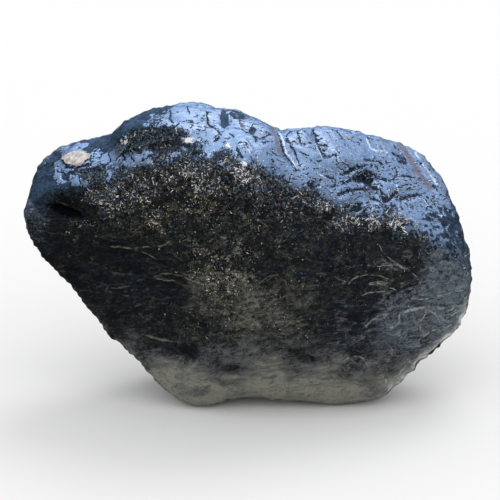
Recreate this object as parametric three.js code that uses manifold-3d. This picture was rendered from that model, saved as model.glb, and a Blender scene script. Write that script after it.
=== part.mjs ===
// Schorl: a palm-sized broken lump of massive black tourmaline.
//
// It is one natural piece, so it is one closed mesh. Units are millimetres, +Z is up, and the origin
// lies on the small flat under the stone's lower edge, on which it rests.
//
// The form is laid out in the stone's own axes: x to the right, y up the broad dark face, and z out
// of that face.
// 1. Every direction from the stone's middle gets a distance: that of a rounded body with the
//    stone's outline, cut back by the broad faces that it broke along. The cuts meet in soft ridges.
// 2. Gullies, ledges, hollows, lumps and shell-shaped chips then move the surface in and out.
// 3. The stone is leaned back, lifted, and cut off flat where it rests.
import * as THREE from 'three';
import { mergeVertices } from 'three/addons/utils/BufferGeometryUtils.js';
import Module from 'manifold-3d';

// ---- driving dimensions ----

const LEAN = THREE.MathUtils.degToRad(20);   // how far the broad face's axis leans back from upright
const MIDDLE_HEIGHT = 19.7;                  // the stone's middle above what it rests on
const FRONT_DEPTH = 20;                      // the rounded body's reach out of the broad face
const BACK_DEPTH = 21;                       // and its reach into the back
const BOXINESS = 2.8;                        // 2 gives an ellipsoid's section, and more a squarer one
const RIDGE_SHARPNESS = 38;                  // higher gives sharper ridges between the broken faces
const CURVE_STEPS = 12;                      // points on the outline's curve for each one listed
const MESH_DETAIL = 20;                      // the mesh has 20 faces times (this + 1) squared
const MESH_SPREAD = new THREE.Vector3(32, 21, 15);   // half sizes that space those faces evenly
const MESH_FRONT_SHIFT = 3;                  // gives the front the smallest faces and the finest forms
const GROUND_BLOCK = 100;                    // the block below the ground that cuts the resting flat
const STONE_COLOUR = 0x1b1d1f;
const STONE_ROUGHNESS = 0.32;

// The outline seen square to the broad face, anticlockwise from the right-hand end: x, y.
const OUTLINE = [
  // right shoulder
  [31.5, 0.0], [29.7, 6.6], [28.5, 10.1], [27.3, 12.8], [25.3, 15.4], [22.7, 16.9], [19.4, 17.6],
  // right crest and hump
  [13.4, 18.7], [10.9, 19.0], [6.0, 18.4], [4.2, 18.0], [2.6, 19.1], [0.0, 20.1], [-2.2, 21.3],
  [-4.5, 21.3], [-6.6, 21.9], [-9.2, 22.1], [-12.5, 21.5], [-15.2, 21.0], [-17.3, 19.9],
  // left knob
  [-20.8, 17.4], [-23.3, 17.2], [-25.9, 16.6], [-28.6, 15.7], [-30.4, 13.9], [-31.4, 12.0],
  [-32.5, 6.6], [-31.9, 3.3],
  // left flank
  [-30.5, 0.9], [-27.6, -2.4], [-24.7, -5.2], [-21.9, -9.2], [-18.8, -12.4], [-15.4, -15.5],
  [-12.5, -18.6],
  // lower edge
  [-9.3, -20.9], [-6.8, -21.4], [-4.3, -20.6], [-2.0, -19.8], [0.6, -19.8], [4.7, -20.4],
  [8.3, -20.6], [11.6, -21.1], [15.5, -20.7], [18.7, -20.0],
  // right flank
  [21.0, -18.0], [24.7, -14.1], [27.2, -12.4], [29.3, -10.8], [30.6, -8.6], [30.5, -6.9],
  [31.2, -5.5], [31.6, -3.2],
];

// The broken faces: the way each one looks, and its distance from the stone's middle.
const FACES = {
  frontMiddle: { looks: [0.04, -0.30, 0.95], distance: 12.3 },
  frontLeft: { looks: [-0.30, -0.34, 0.89], distance: 12.6 },
  frontRight: { looks: [0.34, -0.14, 0.93], distance: 13.6 },
  frontLower: { looks: [0.02, -0.66, 0.75], distance: 15.6 },
  topRight: { looks: [0.49, 0.60, 0.63], distance: 17.9 },
  topHump: { looks: [-0.05, 0.78, 0.62], distance: 20.6 },
  topKnob: { looks: [-0.50, 0.62, 0.60], distance: 24.5 },
  leftFlank: { looks: [-0.66, -0.50, 0.56], distance: 22.5 },
  rightEnd: { looks: [0.84, 0.02, 0.54], distance: 27.8 },
  rightFlank: { looks: [0.60, -0.50, 0.62], distance: 25.0 },
  backUpper: { looks: [-0.05, 0.45, -0.89], distance: 16.0 },
  backRight: { looks: [0.25, -0.10, -0.96], distance: 15.5 },
  backLeft: { looks: [-0.42, -0.05, -0.90], distance: 16.5 },
  backLower: { looks: [0.0, -0.52, -0.85], distance: 20.0 },
  backLowerRight: { looks: [0.45, -0.55, -0.70], distance: 22.0 },
  backLowerLeft: { looks: [-0.50, -0.55, -0.67], distance: 20.5 },
};

// Forms on the front and the top. A path is a list of x, y, and a width is from a form's middle line
// to where it has mostly faded.
const GULLIES = {
  valleyBesideHump: { path: [[4.2, 18.6], [4.5, 16.6], [5.3, 14.6], [6.6, 12.6]], width: 0.8, depth: 0.7 },
  notchInCrest: { path: [[-4.4, 22.0], [-4.3, 20.4], [-3.8, 18.6]], width: 0.8, depth: 0.6 },
  humpFlank: { path: [[-1.9, 20.2], [-0.9, 18.4], [0.9, 17.4], [2.4, 17.5]], width: 0.7, depth: 0.4 },
  rightCrest: { path: [[8.8, 19.0], [9.3, 16.6], [10.2, 14.6], [11.6, 14.4]], width: 0.7, depth: 0.5 },
  shoulder: {
    path: [[20.2, 17.3], [22.3, 15.2], [23.9, 12.6], [25.6, 10.2], [26.6, 8.0]], width: 0.8, depth: 0.45,
  },
  behindKnob: { path: [[-20.9, 18.0], [-19.9, 14.0], [-21.6, 10.4]], width: 2.2, depth: 1.1 },
  underKnob: { path: [[-29.4, 7.7], [-26.8, 6.6], [-24.2, 6.2]], width: 0.9, depth: 1.6 },
};

// A ledge stands proud on the left of the way that its path runs, or sinks there if its height is
// negative. It fades over its reach, and its step is half as wide as its face.
const LEDGES = {
  humpRiser: {
    path: [[-20.5, 15.6], [-17.0, 16.2], [-13.0, 16.6], [-8.5, 16.0]], height: 1.4, reach: 2.6, step: 0.9,
  },
  middleCrack: {
    path: [[-1.0, -8.9], [-3.2, -8.2], [-4.9, -6.6], [-7.5, -4.6], [-9.6, -3.3], [-13.0, -2.6]],
    height: -0.6, reach: 4, step: 0.4,
  },
  rightSlab: {
    path: [[30.6, -6.5], [27.9, -7.5], [24.2, -7.3], [21.9, -7.8], [19.6, -10.2]],
    height: -0.7, reach: 3, step: 0.4,
  },
  lowerRightSlab: {
    path: [[19.8, -8.0], [18.0, -8.5], [16.8, -9.5], [15.2, -11.4]], height: -0.4, reach: 2, step: 0.4,
  },
  lowerRightRim: {
    path: [[29.6, -8.9], [26.2, -11.2], [22.8, -13.4], [19.6, -17.0], [15.4, -18.9]],
    height: -0.5, reach: 5, step: 0.4,
  },
  lowerMiddle: {
    path: [[-7.6, -13.8], [-2.6, -14.6], [3.0, -14.2], [9.4, -15.4]], height: 0.35, reach: 3, step: 0.5,
  },
};

// Oval hollows and lumps: the middle, the half sizes, and the turn of the long one in degrees.
const HOLLOWS = {
  crestPits: { at: [13.4, 12.3], half: [1.6, 0.7], turn: 25, depth: 0.5 },
  crestPitsLower: { at: [16.3, 11.2], half: [1.3, 0.8], turn: -5, depth: 0.7 },
  ridgePitsLeft: { at: [14.6, 7.8], half: [1.1, 0.8], turn: 45, depth: 0.6 },
  ridgePitsMiddle: { at: [17.4, 8.9], half: [1.4, 0.7], turn: 45, depth: 0.6 },
  ridgePitsRight: { at: [21.6, 8.8], half: [1.6, 0.6], turn: 25, depth: 0.5 },
};
const LUMPS = {
  quartzGrain: { at: [-25.3, 14.5], half: [1.85, 1.15], turn: 8, height: 0.75 },
  humpLeft: { at: [-14.0, 17.7], half: [5.5, 1.2], turn: 2, height: 0.5 },
  humpMiddle: { at: [-9.0, 18.0], half: [5.5, 3.0], turn: 0, height: 0.35 },
  rightCrest: { at: [12.5, 14.0], half: [5.0, 2.6], turn: -10, height: 0.45 },
  ridgeMiddle: { at: [-0.5, 14.6], half: [4.0, 2.2], turn: -20, height: 0.45 },
};

// Uneven ground all over: layers of swellings, and shell-shaped chips with sharp rims between them.
const SWELLINGS = [
  { spacing: 11, height: 0.7, seed: 1 },
  { spacing: 5.2, height: 0.22, seed: 2 },
  { spacing: 2.4, height: 0.1, seed: 3 },
];
const CHIPS = { spacing: 6.5, depth: 1, level: 0.3, seed: 4 };
const CHIP_WARP = { spacing: 4, reach: 0.8, seeds: { x: 5, y: 6, z: 7 } };
const FRONT_CHIPS = 0.55;                    // share of the chips' depth that is left on the front,
const TOP_CHIPS = 0.5;                       // on the worn top,
const RIM_RELIEF = 0.25;                     // and of all the uneven ground's height at the outline

// The part of the normal along a zone's own axis at which the zone begins, and at which it is full.
const TOP_ZONE = [0.25, 0.6];
const FRONT_ZONE = [-0.15, 0.35];
const BACK_ZONE = [-0.2, 0.2];

const PATH_TAPER = 0.18;                     // the share of a path over which a form fades at each end
const GULLY_END = 0.25;                      // the share of a gully's depth that is left at its ends
const OVAL_STEEPNESS = 1.3;                  // 1 gives a bell, and more a flatter middle

// ---- curves and noise ----

function smoothStep(low, high, x) {
  return THREE.MathUtils.smoothstep(x, low, high);
}

// A whole number that looks random, the same one each time for a corner of the grid.
function cornerHash(x, y, z, seed) {
  let h = Math.imul(x, 0x9e3779b1) ^ Math.imul(y, 0x85ebca77);
  h ^= Math.imul(z, 0xc2b2ae3d) ^ Math.imul(seed, 0x27d4eb2f);
  h = Math.imul(h ^ (h >>> 15), 0x2c1b3c6d);
  h = Math.imul(h ^ (h >>> 12), 0x297a2d39);
  return (h ^ (h >>> 15)) >>> 0;
}

// The slope that a grid corner gives to the noise, along one of twelve ways.
function cornerSlope(hash, x, y, z) {
  const h = hash & 15;
  const a = h < 8 ? x : y;
  const other = h === 12 || h === 14 ? x : z;
  const b = h < 4 ? y : other;
  return ((h & 1) === 0 ? a : -a) + ((h & 2) === 0 ? b : -b);
}

// Smooth gradient noise from about -1 to 1, with swellings `spacing` apart.
function noise(point, spacing, seed) {
  const place = point.clone().divideScalar(spacing);
  const corner = place.clone().floor();
  const inside = place.sub(corner);
  const ease = (t) => t * t * t * (t * (t * 6 - 15) + 10);
  const share = (t, far) => (far ? ease(t) : 1 - ease(t));
  let sum = 0;
  for (const i of [0, 1]) {
    for (const j of [0, 1]) {
      for (const k of [0, 1]) {
        const hash = cornerHash(corner.x + i, corner.y + j, corner.z + k, seed);
        const slope = cornerSlope(hash, inside.x - i, inside.y - j, inside.z - k);
        sum += slope * share(inside.x, i) * share(inside.y, j) * share(inside.z, k);
      }
    }
  }
  return sum;
}

// The distance to the nearest of a set of scattered points, one in each cube of a grid, in grid steps.
function nearestScattered(point, spacing, seed) {
  const place = point.clone().divideScalar(spacing);
  const cube = place.clone().floor();
  let nearest = Infinity;
  for (const i of [-1, 0, 1]) {
    for (const j of [-1, 0, 1]) {
      for (const k of [-1, 0, 1]) {
        const hash = cornerHash(cube.x + i, cube.y + j, cube.z + k, seed);
        const offset = [hash, hash >>> 10, hash >>> 20].map((bits) => (bits & 1023) / 1023);
        const scattered = new THREE.Vector3(...offset).add(cube).add(new THREE.Vector3(i, j, k));
        nearest = Math.min(nearest, scattered.distanceTo(place));
      }
    }
  }
  return nearest;
}

// Where a point lies beside a path: its distance, its share of the way along, and the side it is on.
function besidePath(x, y, path) {
  const lengths = path.slice(1).map((end, i) => Math.hypot(end[0] - path[i][0], end[1] - path[i][1]));
  const total = lengths.reduce((sum, length) => sum + length, 0);
  let best = { distance: Infinity, along: 0, left: 1 };
  let passed = 0;
  lengths.forEach((length, i) => {
    const way = [(path[i + 1][0] - path[i][0]) / length, (path[i + 1][1] - path[i][1]) / length];
    const from = [x - path[i][0], y - path[i][1]];
    const run = THREE.MathUtils.clamp(from[0] * way[0] + from[1] * way[1], 0, length);
    const distance = Math.hypot(from[0] - run * way[0], from[1] - run * way[1]);
    if (distance < best.distance) {
      const left = Math.sign(from[1] * way[0] - from[0] * way[1]);
      best = { distance, along: (passed + run) / total, left };
    }
    passed += length;
  });
  return best;
}

// 1 along a path, and falling to 0 at its two ends.
function taper(along) {
  return smoothStep(0, PATH_TAPER, along) * smoothStep(0, PATH_TAPER, 1 - along);
}

// ---- the body ----

// The outline as a closed curve: angles about the stone's middle, in rising order, and the radius at
// each.
function outlineByAngle() {
  const samples = CURVE_STEPS * OUTLINE.length;
  const corners = OUTLINE.map(([x, y]) => new THREE.Vector3(x, y, 0));
  const curve = new THREE.CatmullRomCurve3(corners, true, 'catmullrom', 0.5);
  const turns = curve.getPoints(samples).slice(0, samples)
    .map((p) => ({ angle: Math.atan2(p.y, p.x), radius: Math.hypot(p.x, p.y) }))
    .sort((a, b) => a.angle - b.angle);
  const first = turns[0];
  const last = turns[turns.length - 1];
  const before = { angle: last.angle - 2 * Math.PI, radius: last.radius };
  const after = { angle: first.angle + 2 * Math.PI, radius: first.radius };
  return [before, ...turns, after];
}

function radiusAtAngle(turns, angle) {
  const next = turns.findIndex((turn) => turn.angle > angle);
  const [a, b] = [turns[next - 1], turns[next]];
  return THREE.MathUtils.mapLinear(angle, a.angle, b.angle, a.radius, b.radius);
}

// The distance from the stone's middle to its surface. A high power of the reciprocals makes the
// least distance win.
function distanceAlong(direction, turns) {
  const angle = Math.atan2(direction.y, direction.x);
  const sideways = Math.hypot(direction.x, direction.y) / radiusAtAngle(turns, angle);
  const inward = Math.abs(direction.z) / (direction.z > 0 ? FRONT_DEPTH : BACK_DEPTH);
  const rounded = (sideways ** BOXINESS + inward ** BOXINESS) ** (1 / BOXINESS);
  const cuts = Object.values(FACES).map(({ looks, distance }) => {
    const towards = direction.dot(new THREE.Vector3(...looks).normalize());
    return Math.max(towards, 0) / distance;
  });
  const sum = [rounded, ...cuts].reduce((total, reciprocal) => total + reciprocal ** RIDGE_SHARPNESS, 0);
  return sum ** (-1 / RIDGE_SHARPNESS);
}

// A sphere's even mesh, with its points moved out to the stone's surface.
function bodyGeometry() {
  const sphere = new THREE.IcosahedronGeometry(1, MESH_DETAIL);
  sphere.deleteAttribute('normal');
  sphere.deleteAttribute('uv');
  const geometry = mergeVertices(sphere);
  const turns = outlineByAngle();
  movePoints(geometry, (point) => {
    point.multiply(MESH_SPREAD);
    point.z += MESH_FRONT_SHIFT;
    point.normalize();
    return point.multiplyScalar(distanceAlong(point, turns));
  });
  return geometry;
}

function movePoints(geometry, move) {
  const points = geometry.attributes.position;
  for (let i = 0; i < points.count; i += 1) {
    const moved = move(new THREE.Vector3().fromBufferAttribute(points, i), i);
    points.setXYZ(i, moved.x, moved.y, moved.z);
  }
  geometry.computeVertexNormals();
}

// ---- the relief ----

function gullyHeight(x, y, { path, width, depth }) {
  const { distance, along } = besidePath(x, y, path);
  return -depth * Math.exp(-((distance / width) ** 2)) * THREE.MathUtils.lerp(GULLY_END, 1, taper(along));
}

function ledgeHeight(x, y, { path, height, reach, step }) {
  const { distance, along, left } = besidePath(x, y, path);
  const beyond = distance * left;
  return height * smoothStep(-step, step, beyond) * Math.exp(-Math.max(beyond, 0) / reach) * taper(along);
}

// 1 over most of an oval, and falling steeply to 0 at its rim.
function insideOval(x, y, { at, half, turn }) {
  const angle = THREE.MathUtils.degToRad(turn);
  const from = new THREE.Vector2(x - at[0], y - at[1]).rotateAround(new THREE.Vector2(), -angle);
  const out = (from.x / half[0]) ** 2 + (from.y / half[1]) ** 2;
  return Math.exp(-(out ** OVAL_STEEPNESS));
}

function hollowHeight(x, y, hollow) {
  return -hollow.depth * insideOval(x, y, hollow);
}

function lumpHeight(x, y, lump) {
  return lump.height * insideOval(x, y, lump);
}

function groundHeight(point, onBack, onTop) {
  const layers = SWELLINGS.map(({ spacing, height, seed }) => height * noise(point, spacing, seed));
  const swell = layers.reduce((sum, height) => sum + height, 0);
  const warped = point.clone();
  Object.entries(CHIP_WARP.seeds).forEach(([axis, seed]) => {
    warped[axis] += CHIP_WARP.reach * noise(point, CHIP_WARP.spacing, seed);
  });
  const chip = CHIPS.depth * (nearestScattered(warped, CHIPS.spacing, CHIPS.seed) ** 2 - CHIPS.level);
  const chipShare = THREE.MathUtils.lerp(FRONT_CHIPS, 1, onBack) * THREE.MathUtils.lerp(1, TOP_CHIPS, onTop);
  return swell + chip * chipShare;
}

// The height of the relief at a point whose surface looks along `normal`.
function reliefHeight(point, normal) {
  const upward = normal.y * Math.cos(LEAN) + normal.z * Math.sin(LEAN);
  const onTop = smoothStep(...TOP_ZONE, upward);
  const onFront = smoothStep(...FRONT_ZONE, normal.z);
  const onBack = smoothStep(...BACK_ZONE, -normal.z);
  const groundShare = THREE.MathUtils.lerp(RIM_RELIEF, 1, normal.z ** 2);
  const { x, y } = point;
  const total = (forms, height) => Object.values(forms).reduce((sum, form) => sum + height(x, y, form), 0);
  const forms = total(GULLIES, gullyHeight) + total(LEDGES, ledgeHeight)
    + total(HOLLOWS, hollowHeight) + total(LUMPS, lumpHeight);
  return onFront * forms + groundShare * groundHeight(point, onBack, onTop);
}

function addRelief(geometry) {
  const normals = geometry.attributes.normal.clone();
  movePoints(geometry, (point, i) => {
    const normal = new THREE.Vector3().fromBufferAttribute(normals, i);
    return point.addScaledVector(normal, reliefHeight(point, normal));
  });
}

// ---- the flat that it rests on ----

const wasm = await Module();
wasm.setup();

function toSolid(geometry) {
  const bare = geometry.clone();
  const others = Object.keys(bare.attributes).filter((name) => name !== 'position');
  others.forEach((name) => bare.deleteAttribute(name));
  const merged = mergeVertices(bare);
  return new wasm.Manifold(new wasm.Mesh({
    numProp: 3,
    vertProperties: Float32Array.from(merged.attributes.position.array),
    triVerts: Uint32Array.from(merged.index.array),
  }));
}

function toGeometry(solid) {
  const mesh = solid.getMesh();
  const geometry = new THREE.BufferGeometry();
  geometry.setAttribute('position', new THREE.BufferAttribute(mesh.vertProperties, mesh.numProp));
  geometry.setIndex(new THREE.BufferAttribute(mesh.triVerts, 1));
  geometry.computeVertexNormals();
  return geometry;
}

function cutFlatBelowGround(geometry) {
  const below = new THREE.BoxGeometry(GROUND_BLOCK, GROUND_BLOCK, GROUND_BLOCK);
  below.translate(0, 0, -GROUND_BLOCK / 2);
  return toGeometry(toSolid(geometry).subtract(toSolid(below)));
}

// ---- the stone ----

function schorl() {
  const geometry = bodyGeometry();
  addRelief(geometry);
  geometry.rotateX(Math.PI / 2 - LEAN);
  geometry.translate(0, 0, MIDDLE_HEIGHT);
  const finish = { color: STONE_COLOUR, roughness: STONE_ROUGHNESS, metalness: 0 };
  const material = new THREE.MeshStandardMaterial(finish);
  const mesh = new THREE.Mesh(cutFlatBelowGround(geometry), material);
  mesh.name = 'schorl';
  return mesh;
}

const group = new THREE.Group();
group.add(schorl());

export default group;
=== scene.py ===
"""The looks of a palm-sized lump of massive schorl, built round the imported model.

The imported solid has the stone's form down to about a millimetre. The visible stone is a finer mesh of the
same form: its points are cast on to the solid, the solid's facets are smoothed away, and ledges, cracks,
chips, pits and flakes are raised on it. Fine crystal grains are scattered over it by Geometry Nodes.

Places on the stone are given as they look from the front, in millimetres: x to the right and y up, from the
stone's middle. Everything handed to Blender is in metres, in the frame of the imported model.
"""

import math

import bpy
import numpy as np
from mathutils import Matrix, Vector
from mathutils.bvhtree import BVHTree


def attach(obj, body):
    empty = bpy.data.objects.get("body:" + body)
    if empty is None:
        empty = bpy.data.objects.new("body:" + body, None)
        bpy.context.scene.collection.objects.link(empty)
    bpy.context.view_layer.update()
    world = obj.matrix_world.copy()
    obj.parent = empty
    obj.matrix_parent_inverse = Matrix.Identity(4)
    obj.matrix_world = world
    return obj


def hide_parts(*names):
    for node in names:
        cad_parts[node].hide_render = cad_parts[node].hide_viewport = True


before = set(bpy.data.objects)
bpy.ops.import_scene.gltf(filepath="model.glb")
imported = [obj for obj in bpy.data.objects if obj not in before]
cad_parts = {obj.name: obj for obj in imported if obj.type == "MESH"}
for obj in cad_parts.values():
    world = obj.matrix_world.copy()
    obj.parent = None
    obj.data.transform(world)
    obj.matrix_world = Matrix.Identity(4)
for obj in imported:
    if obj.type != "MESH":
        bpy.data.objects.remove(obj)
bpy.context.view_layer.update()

# ---- sizes ----

MM = 0.001                          # all sizes below are in millimetres
LEAN = math.radians(20)             # how far the broad face's axis leans back from upright
MIDDLE = Vector((0, 0, 19.7))       # the stone's middle above the flat that it rests on
UP_FACE = Vector((0, math.sin(LEAN), math.cos(LEAN)))        # y of the stone's own axes
OUT_OF_FACE = Vector((0, -math.cos(LEAN), math.sin(LEAN)))   # z of the stone's own axes

VIEW_WIDTH = 71.9                   # what the camera sees at the stone's middle, from side to side
VIEW_DISTANCE = 420
VIEW_CENTRE = (-0.29, 1.15)         # what it looks at, in the stone's own x and y
SENSOR = 36

SPHERE_STEPS = 97                   # the stone's mesh has 20 times this squared triangles
SPREAD = np.array([32.0, 21.0, 15.0])   # half sizes of the ellipsoid that spaces its points
FRONT_SHIFT = 4.5                   # turns their rays towards the front, which is seen closest
FACET_SMOOTHING = 10                # rounds of smoothing that take the solid's facets away

# ---- relief ----

NARROWEST_GROOVE = 0.22     # half width of the narrowest groove that the mesh's points can carry
CRACK_SHARE = 0.45          # how much of a crack's depth the mesh carries
PIT_SHARE = 0.5             # and how much of a pit's
HOLLOW_DEPTH = 0.9
QUARTZ_RISE = 0.14
CREASE_RISE = 0.09          # one side of a crease over the other
GRAINS_REACH = 5.5          # how far the grains reach down from the ridge
GRAIN_SPACING = 0.6
GRAIN_RISE = 0.3
LAYER_SPACING = 1.9         # thin wavy layers that the front broke along
LAYER_RISE = 0.17
WISP_RISE = 0.07            # wavy fibres, raised a little
WISP_WIDTH = 0.25
CHIP_SPACING = 3.6
CHIP_DEPTH = 0.10
BACK_CHIP_DEPTH = 0.2       # on the back, added to the chips' depth
FAR = 99.0                  # half widths from a line, where there is none
FIELD_LIMIT = 60            # no stored number goes further from 0

# ---- places on the stone ----

# A path is a list of places. An oval is its middle, its half sizes and its turn in degrees.

# The worn, glossy top ends along this line, from left to right, and the granular front begins.
RIDGE = [
    (-34, 4), (-29.5, 7.4), (-26.4, 9.6), (-23.8, 10.4), (-20.6, 12.2), (-17.2, 13.2), (-14.8, 13.4),
    (-13.2, 15.6), (-10.6, 16.2), (-8.6, 15.8), (-6.9, 15), (-3.6, 13.6), (-0.7, 12.6), (1.9, 11.4),
    (5.2, 9.9), (7.2, 9.2), (9.8, 8), (11.9, 6.8), (14, 5.2), (17.4, 5.8), (20.9, 5.2), (23.7, 4),
    (26, 1.6), (33, -3),
]

# Cracks, gullies and narrow pits, which show dark: the path, its half width and its depth.
CRACKS = [
    ([(-6.5, 20.6), (-6.4, 19.9), (-6.4, 19.3), (-6, 18.9), (-5.4, 18.8), (-4.9, 18.3),
      (-4.6, 17.9)], 0.15, 0.3),
    ([(-5.3, 17), (-4.9, 17.3)], 0.2, 0.2), ([(-9.25, 21.7), (-9.2, 21.3)], 0.12, 0.15),
    ([(-9, 21), (-9, 20.8)], 0.09, 0.1), ([(-9.1, 19.8), (-9, 19.6)], 0.1, 0.1),
    ([(-8.6, 19.7), (-8.5, 19.5)], 0.11, 0.1), ([(-8.8, 18.8), (-8.6, 19.1)], 0.13, 0.15),
    ([(-13.3, 21.4), (-13.2, 20.7), (-12.3, 20.9), (-12.3, 21.5)], 0.14, 0.15),
    ([(-14.1, 20.1), (-14, 19.4)], 0.14, 0.15), ([(-11.7, 21), (-11.8, 20.2), (-11.5, 19.6)], 0.15, 0.15),
    ([(-11.5, 18.4), (-11, 18.9), (-10.5, 19.2)], 0.12, 0.2),
    ([(-1.9, 20), (-1.6, 19.1), (-1.3, 18.4), (-0.9, 18.1), (-0.1, 18), (0.3, 17.5), (0.9, 17.3),
      (1.6, 17.3), (2, 17.6), (2.7, 17.8)], 0.09, 0.12),
    ([(0.6, 17.2), (0.6, 16.8)], 0.1, 0.1), ([(1.6, 16.7), (2.3, 16.8)], 0.12, 0.1),
    ([(-2.2, 15.9), (-1.8, 15.2), (-1.5, 14.5)], 0.12, 0.2), ([(-3.3, 18), (-2.7, 17.6)], 0.1, 0.1),
    ([(0, 14.1), (0.4, 13.7), (1, 13.4), (1.6, 12.9)], 0.1, 0.15),
    ([(3.7, 18.1), (4, 17), (4.2, 16), (4.6, 15.1), (5.3, 14.1), (5.8, 13.5)], 0.08, 0.15),
    ([(5.8, 18.3), (5, 17.7), (4.9, 16.7)], 0.1, 0.15), ([(5.1, 17.1), (5.4, 16.5)], 0.14, 0.15),
    ([(5.5, 16.1), (5.7, 15.7)], 0.12, 0.1), ([(6, 15.6), (6.3, 14.9)], 0.14, 0.15),
    ([(6.5, 14.3), (6.7, 13.9)], 0.11, 0.1), ([(6.8, 13.5), (7, 13.2)], 0.1, 0.1),
    ([(3, 15.4), (3.4, 14.9), (4, 14.7)], 0.1, 0.1), ([(2.9, 14.2), (3.1, 13.8)], 0.1, 0.1),
    ([(3, 12.4), (3.1, 11.8)], 0.1, 0.1), ([(6.6, 18), (6.8, 17.2), (7.1, 16.4), (7.5, 16.4)], 0.12, 0.15),
    ([(8.8, 18.5), (9.2, 17.5), (9.5, 16.4), (9.9, 15.4), (10.5, 14.5), (11.1, 14.6),
      (11.8, 14.9)], 0.16, 0.3),
    ([(9.5, 16.5), (10.2, 16.3), (10.9, 16.1)], 0.14, 0.2), ([(9.4, 17), (10, 17.2)], 0.1, 0.15),
    ([(10, 15.4), (10.6, 15.6)], 0.1, 0.1), ([(11.5, 18.4), (12.4, 18), (13, 17.2)], 0.08, 0.1),
    ([(13.4, 12.1), (14.2, 12.6), (14.9, 13), (16.2, 13.3)], 0.23, 0.3),
    ([(13.3, 10.8), (14, 11.1)], 0.26, 0.2), ([(12.6, 9.2), (13.4, 9.5), (14.3, 9.7)], 0.25, 0.3),
    ([(14.5, 9.8), (15.6, 9.9), (16.6, 9.8)], 0.19, 0.2),
    ([(18.1, 11.5), (18.8, 11.4), (19.6, 11.1)], 0.21, 0.2), ([(16.5, 12.4), (17.6, 12)], 0.22, 0.2),
    ([(16.2, 14.2), (17.2, 14), (18.3, 13.9)], 0.1, 0.15), ([(18.4, 13.8), (18.9, 13.2)], 0.12, 0.15),
    ([(21.4, 8.5), (22.4, 8.8), (23.8, 9.1)], 0.26, 0.3), ([(18.6, 9.4), (19, 8.4)], 0.23, 0.25),
    ([(19.2, 8.2), (20, 8.6), (20.8, 9.4)], 0.25, 0.3), ([(17.2, 8.6), (18, 8.3)], 0.2, 0.2),
    ([(20.3, 15), (21.1, 14.7), (21.9, 14.2)], 0.19, 0.2), ([(21.2, 13.9), (22, 13.6)], 0.19, 0.2),
    ([(21.6, 11.8), (22.4, 11.7), (23.3, 11.5)], 0.09, 0.15), ([(22, 10.5), (22.8, 10.6)], 0.1, 0.15),
    ([(6, 13.4), (6.3, 12.6)], 0.09, 0.1), ([(12.1, 15), (12.3, 13.6)], 0.07, 0.1),
    ([(3.9, 11.4), (4.6, 11.9)], 0.12, 0.15),
    # this crack below the grain of quartz is a groove that also paints the shade under the grain
    ([(-27.1, 13.8), (-26.6, 13.1), (-25.3, 13), (-24, 13.4), (-23.2, 13.7)], 0.2, 0.35),
    ([(-28.4, 15), (-27.8, 14.6)], 0.2, 0.2),
    ([(-27.3, 12.3), (-26.6, 11.9), (-26, 12.3), (-25.4, 12)], 0.16, 0.15),
    ([(-26.6, 11.4), (-26, 10.8), (-26.2, 10.3)], 0.13, 0.1),
    ([(-20.6, 14.9), (-20.3, 14), (-20.9, 13.4)], 0.12, 0.1),
    ([(-22, 13.7), (-21.2, 13.2), (-21.4, 12.5)], 0.13, 0.1), ([(-17.6, 14.9), (-17, 14.1)], 0.13, 0.1),
    ([(-22.8, 14.6), (-22.5, 15.7), (-21.8, 15.9), (-21.5, 15.2), (-21.9, 14.4), (-22.8, 14.6)], 0.1, 0.15),
    ([(-26.6, 12.1), (-25.8, 12.6), (-24.8, 12.4)], 0.13, 0.15),
    ([(-24.8, 11.8), (-24.7, 10.9)], 0.12, 0.1), ([(-18.9, 13.6), (-18.2, 14.3), (-18.6, 15)], 0.12, 0.1),
    ([(-16, 13.9), (-15.1, 14.6), (-14.2, 14.9)], 0.13, 0.2),
    ([(-9.3, -3.5), (-8.2, -4.5), (-6.2, -5.8), (-4.9, -6.9), (-3.6, -8), (-1.6, -9)], 0.22, 0.3),
]

# Ledges: the path, the height of its left side over its right, and how far the ledge reaches back.
LEDGES = {
    "middle": ([(-9.3, -3.5), (-7.5, -4.6), (-6.2, -5.6), (-4.9, -6.6), (-3.2, -8.3),
      (-1, -8.8)], -0.35, 2.4),
    "below the middle": ([(-1.4, -9.6), (0, -10.2), (1.3, -10.9)], -0.3, 1.6),
    "right slab": ([(20, -9.9), (21.3, -9.5), (21.6, -8.3), (22.7, -7.6), (24.2, -7.3), (27.9, -7.5),
      (30.8, -6.3)], -0.5, 2.2),
    "right slab, upper": ([(23.4, -5.9), (25.6, -5.8), (27, -5.5), (28.5, -5.5)], -0.35, 1.4),
    "lower right slab": ([(15.4, -11.2), (16.1, -10.2), (16.8, -9.5), (17.8, -8.8),
      (19.6, -8.1)], -0.4, 1.8),
    "right, a": ([(15.2, -3.9), (16.1, -3.2), (17.3, -3), (19.3, -3.3)], -0.25, 1),
    "right, b": ([(17.3, -3.9), (19, -3.7), (20.7, -3.9), (21.6, -4.5)], -0.25, 1),
    "right, c": ([(16.4, -5.6), (17.8, -5.2), (19.3, -5)], -0.25, 0.9),
    "right, d": ([(18.4, -1.4), (20.7, -1.3), (23, -1.4)], -0.2, 0.9),
    "arch": ([(13.2, -14.8), (14.1, -14.2), (15.1, -14.1), (16, -14.5), (16.5, -15.2)], -0.3, 1),
    "loop": ([(23.9, -10.4), (24.2, -9.2), (25, -8.5), (26.2, -8.9), (27.6, -9.3)], -0.25, 0.9),
    "hump riser": ([(-19.2, 15.2), (-16, 15.6), (-13, 16.4), (-9.5, 16.6)], 0.7, 1.6),
    "hollow's lip": ([(-29.9, 7.3), (-28.6, 6.7), (-27.4, 6.1), (-25.6, 5.5), (-24.2, 5.6)], -0.5, 1.2),
    "valley lip": ([(3.8, 18.3), (4.1, 17), (4.3, 15.9), (4.8, 15), (5.4, 14.1), (6.1, 13.2)], 0.12, 0.7),
}

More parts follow.
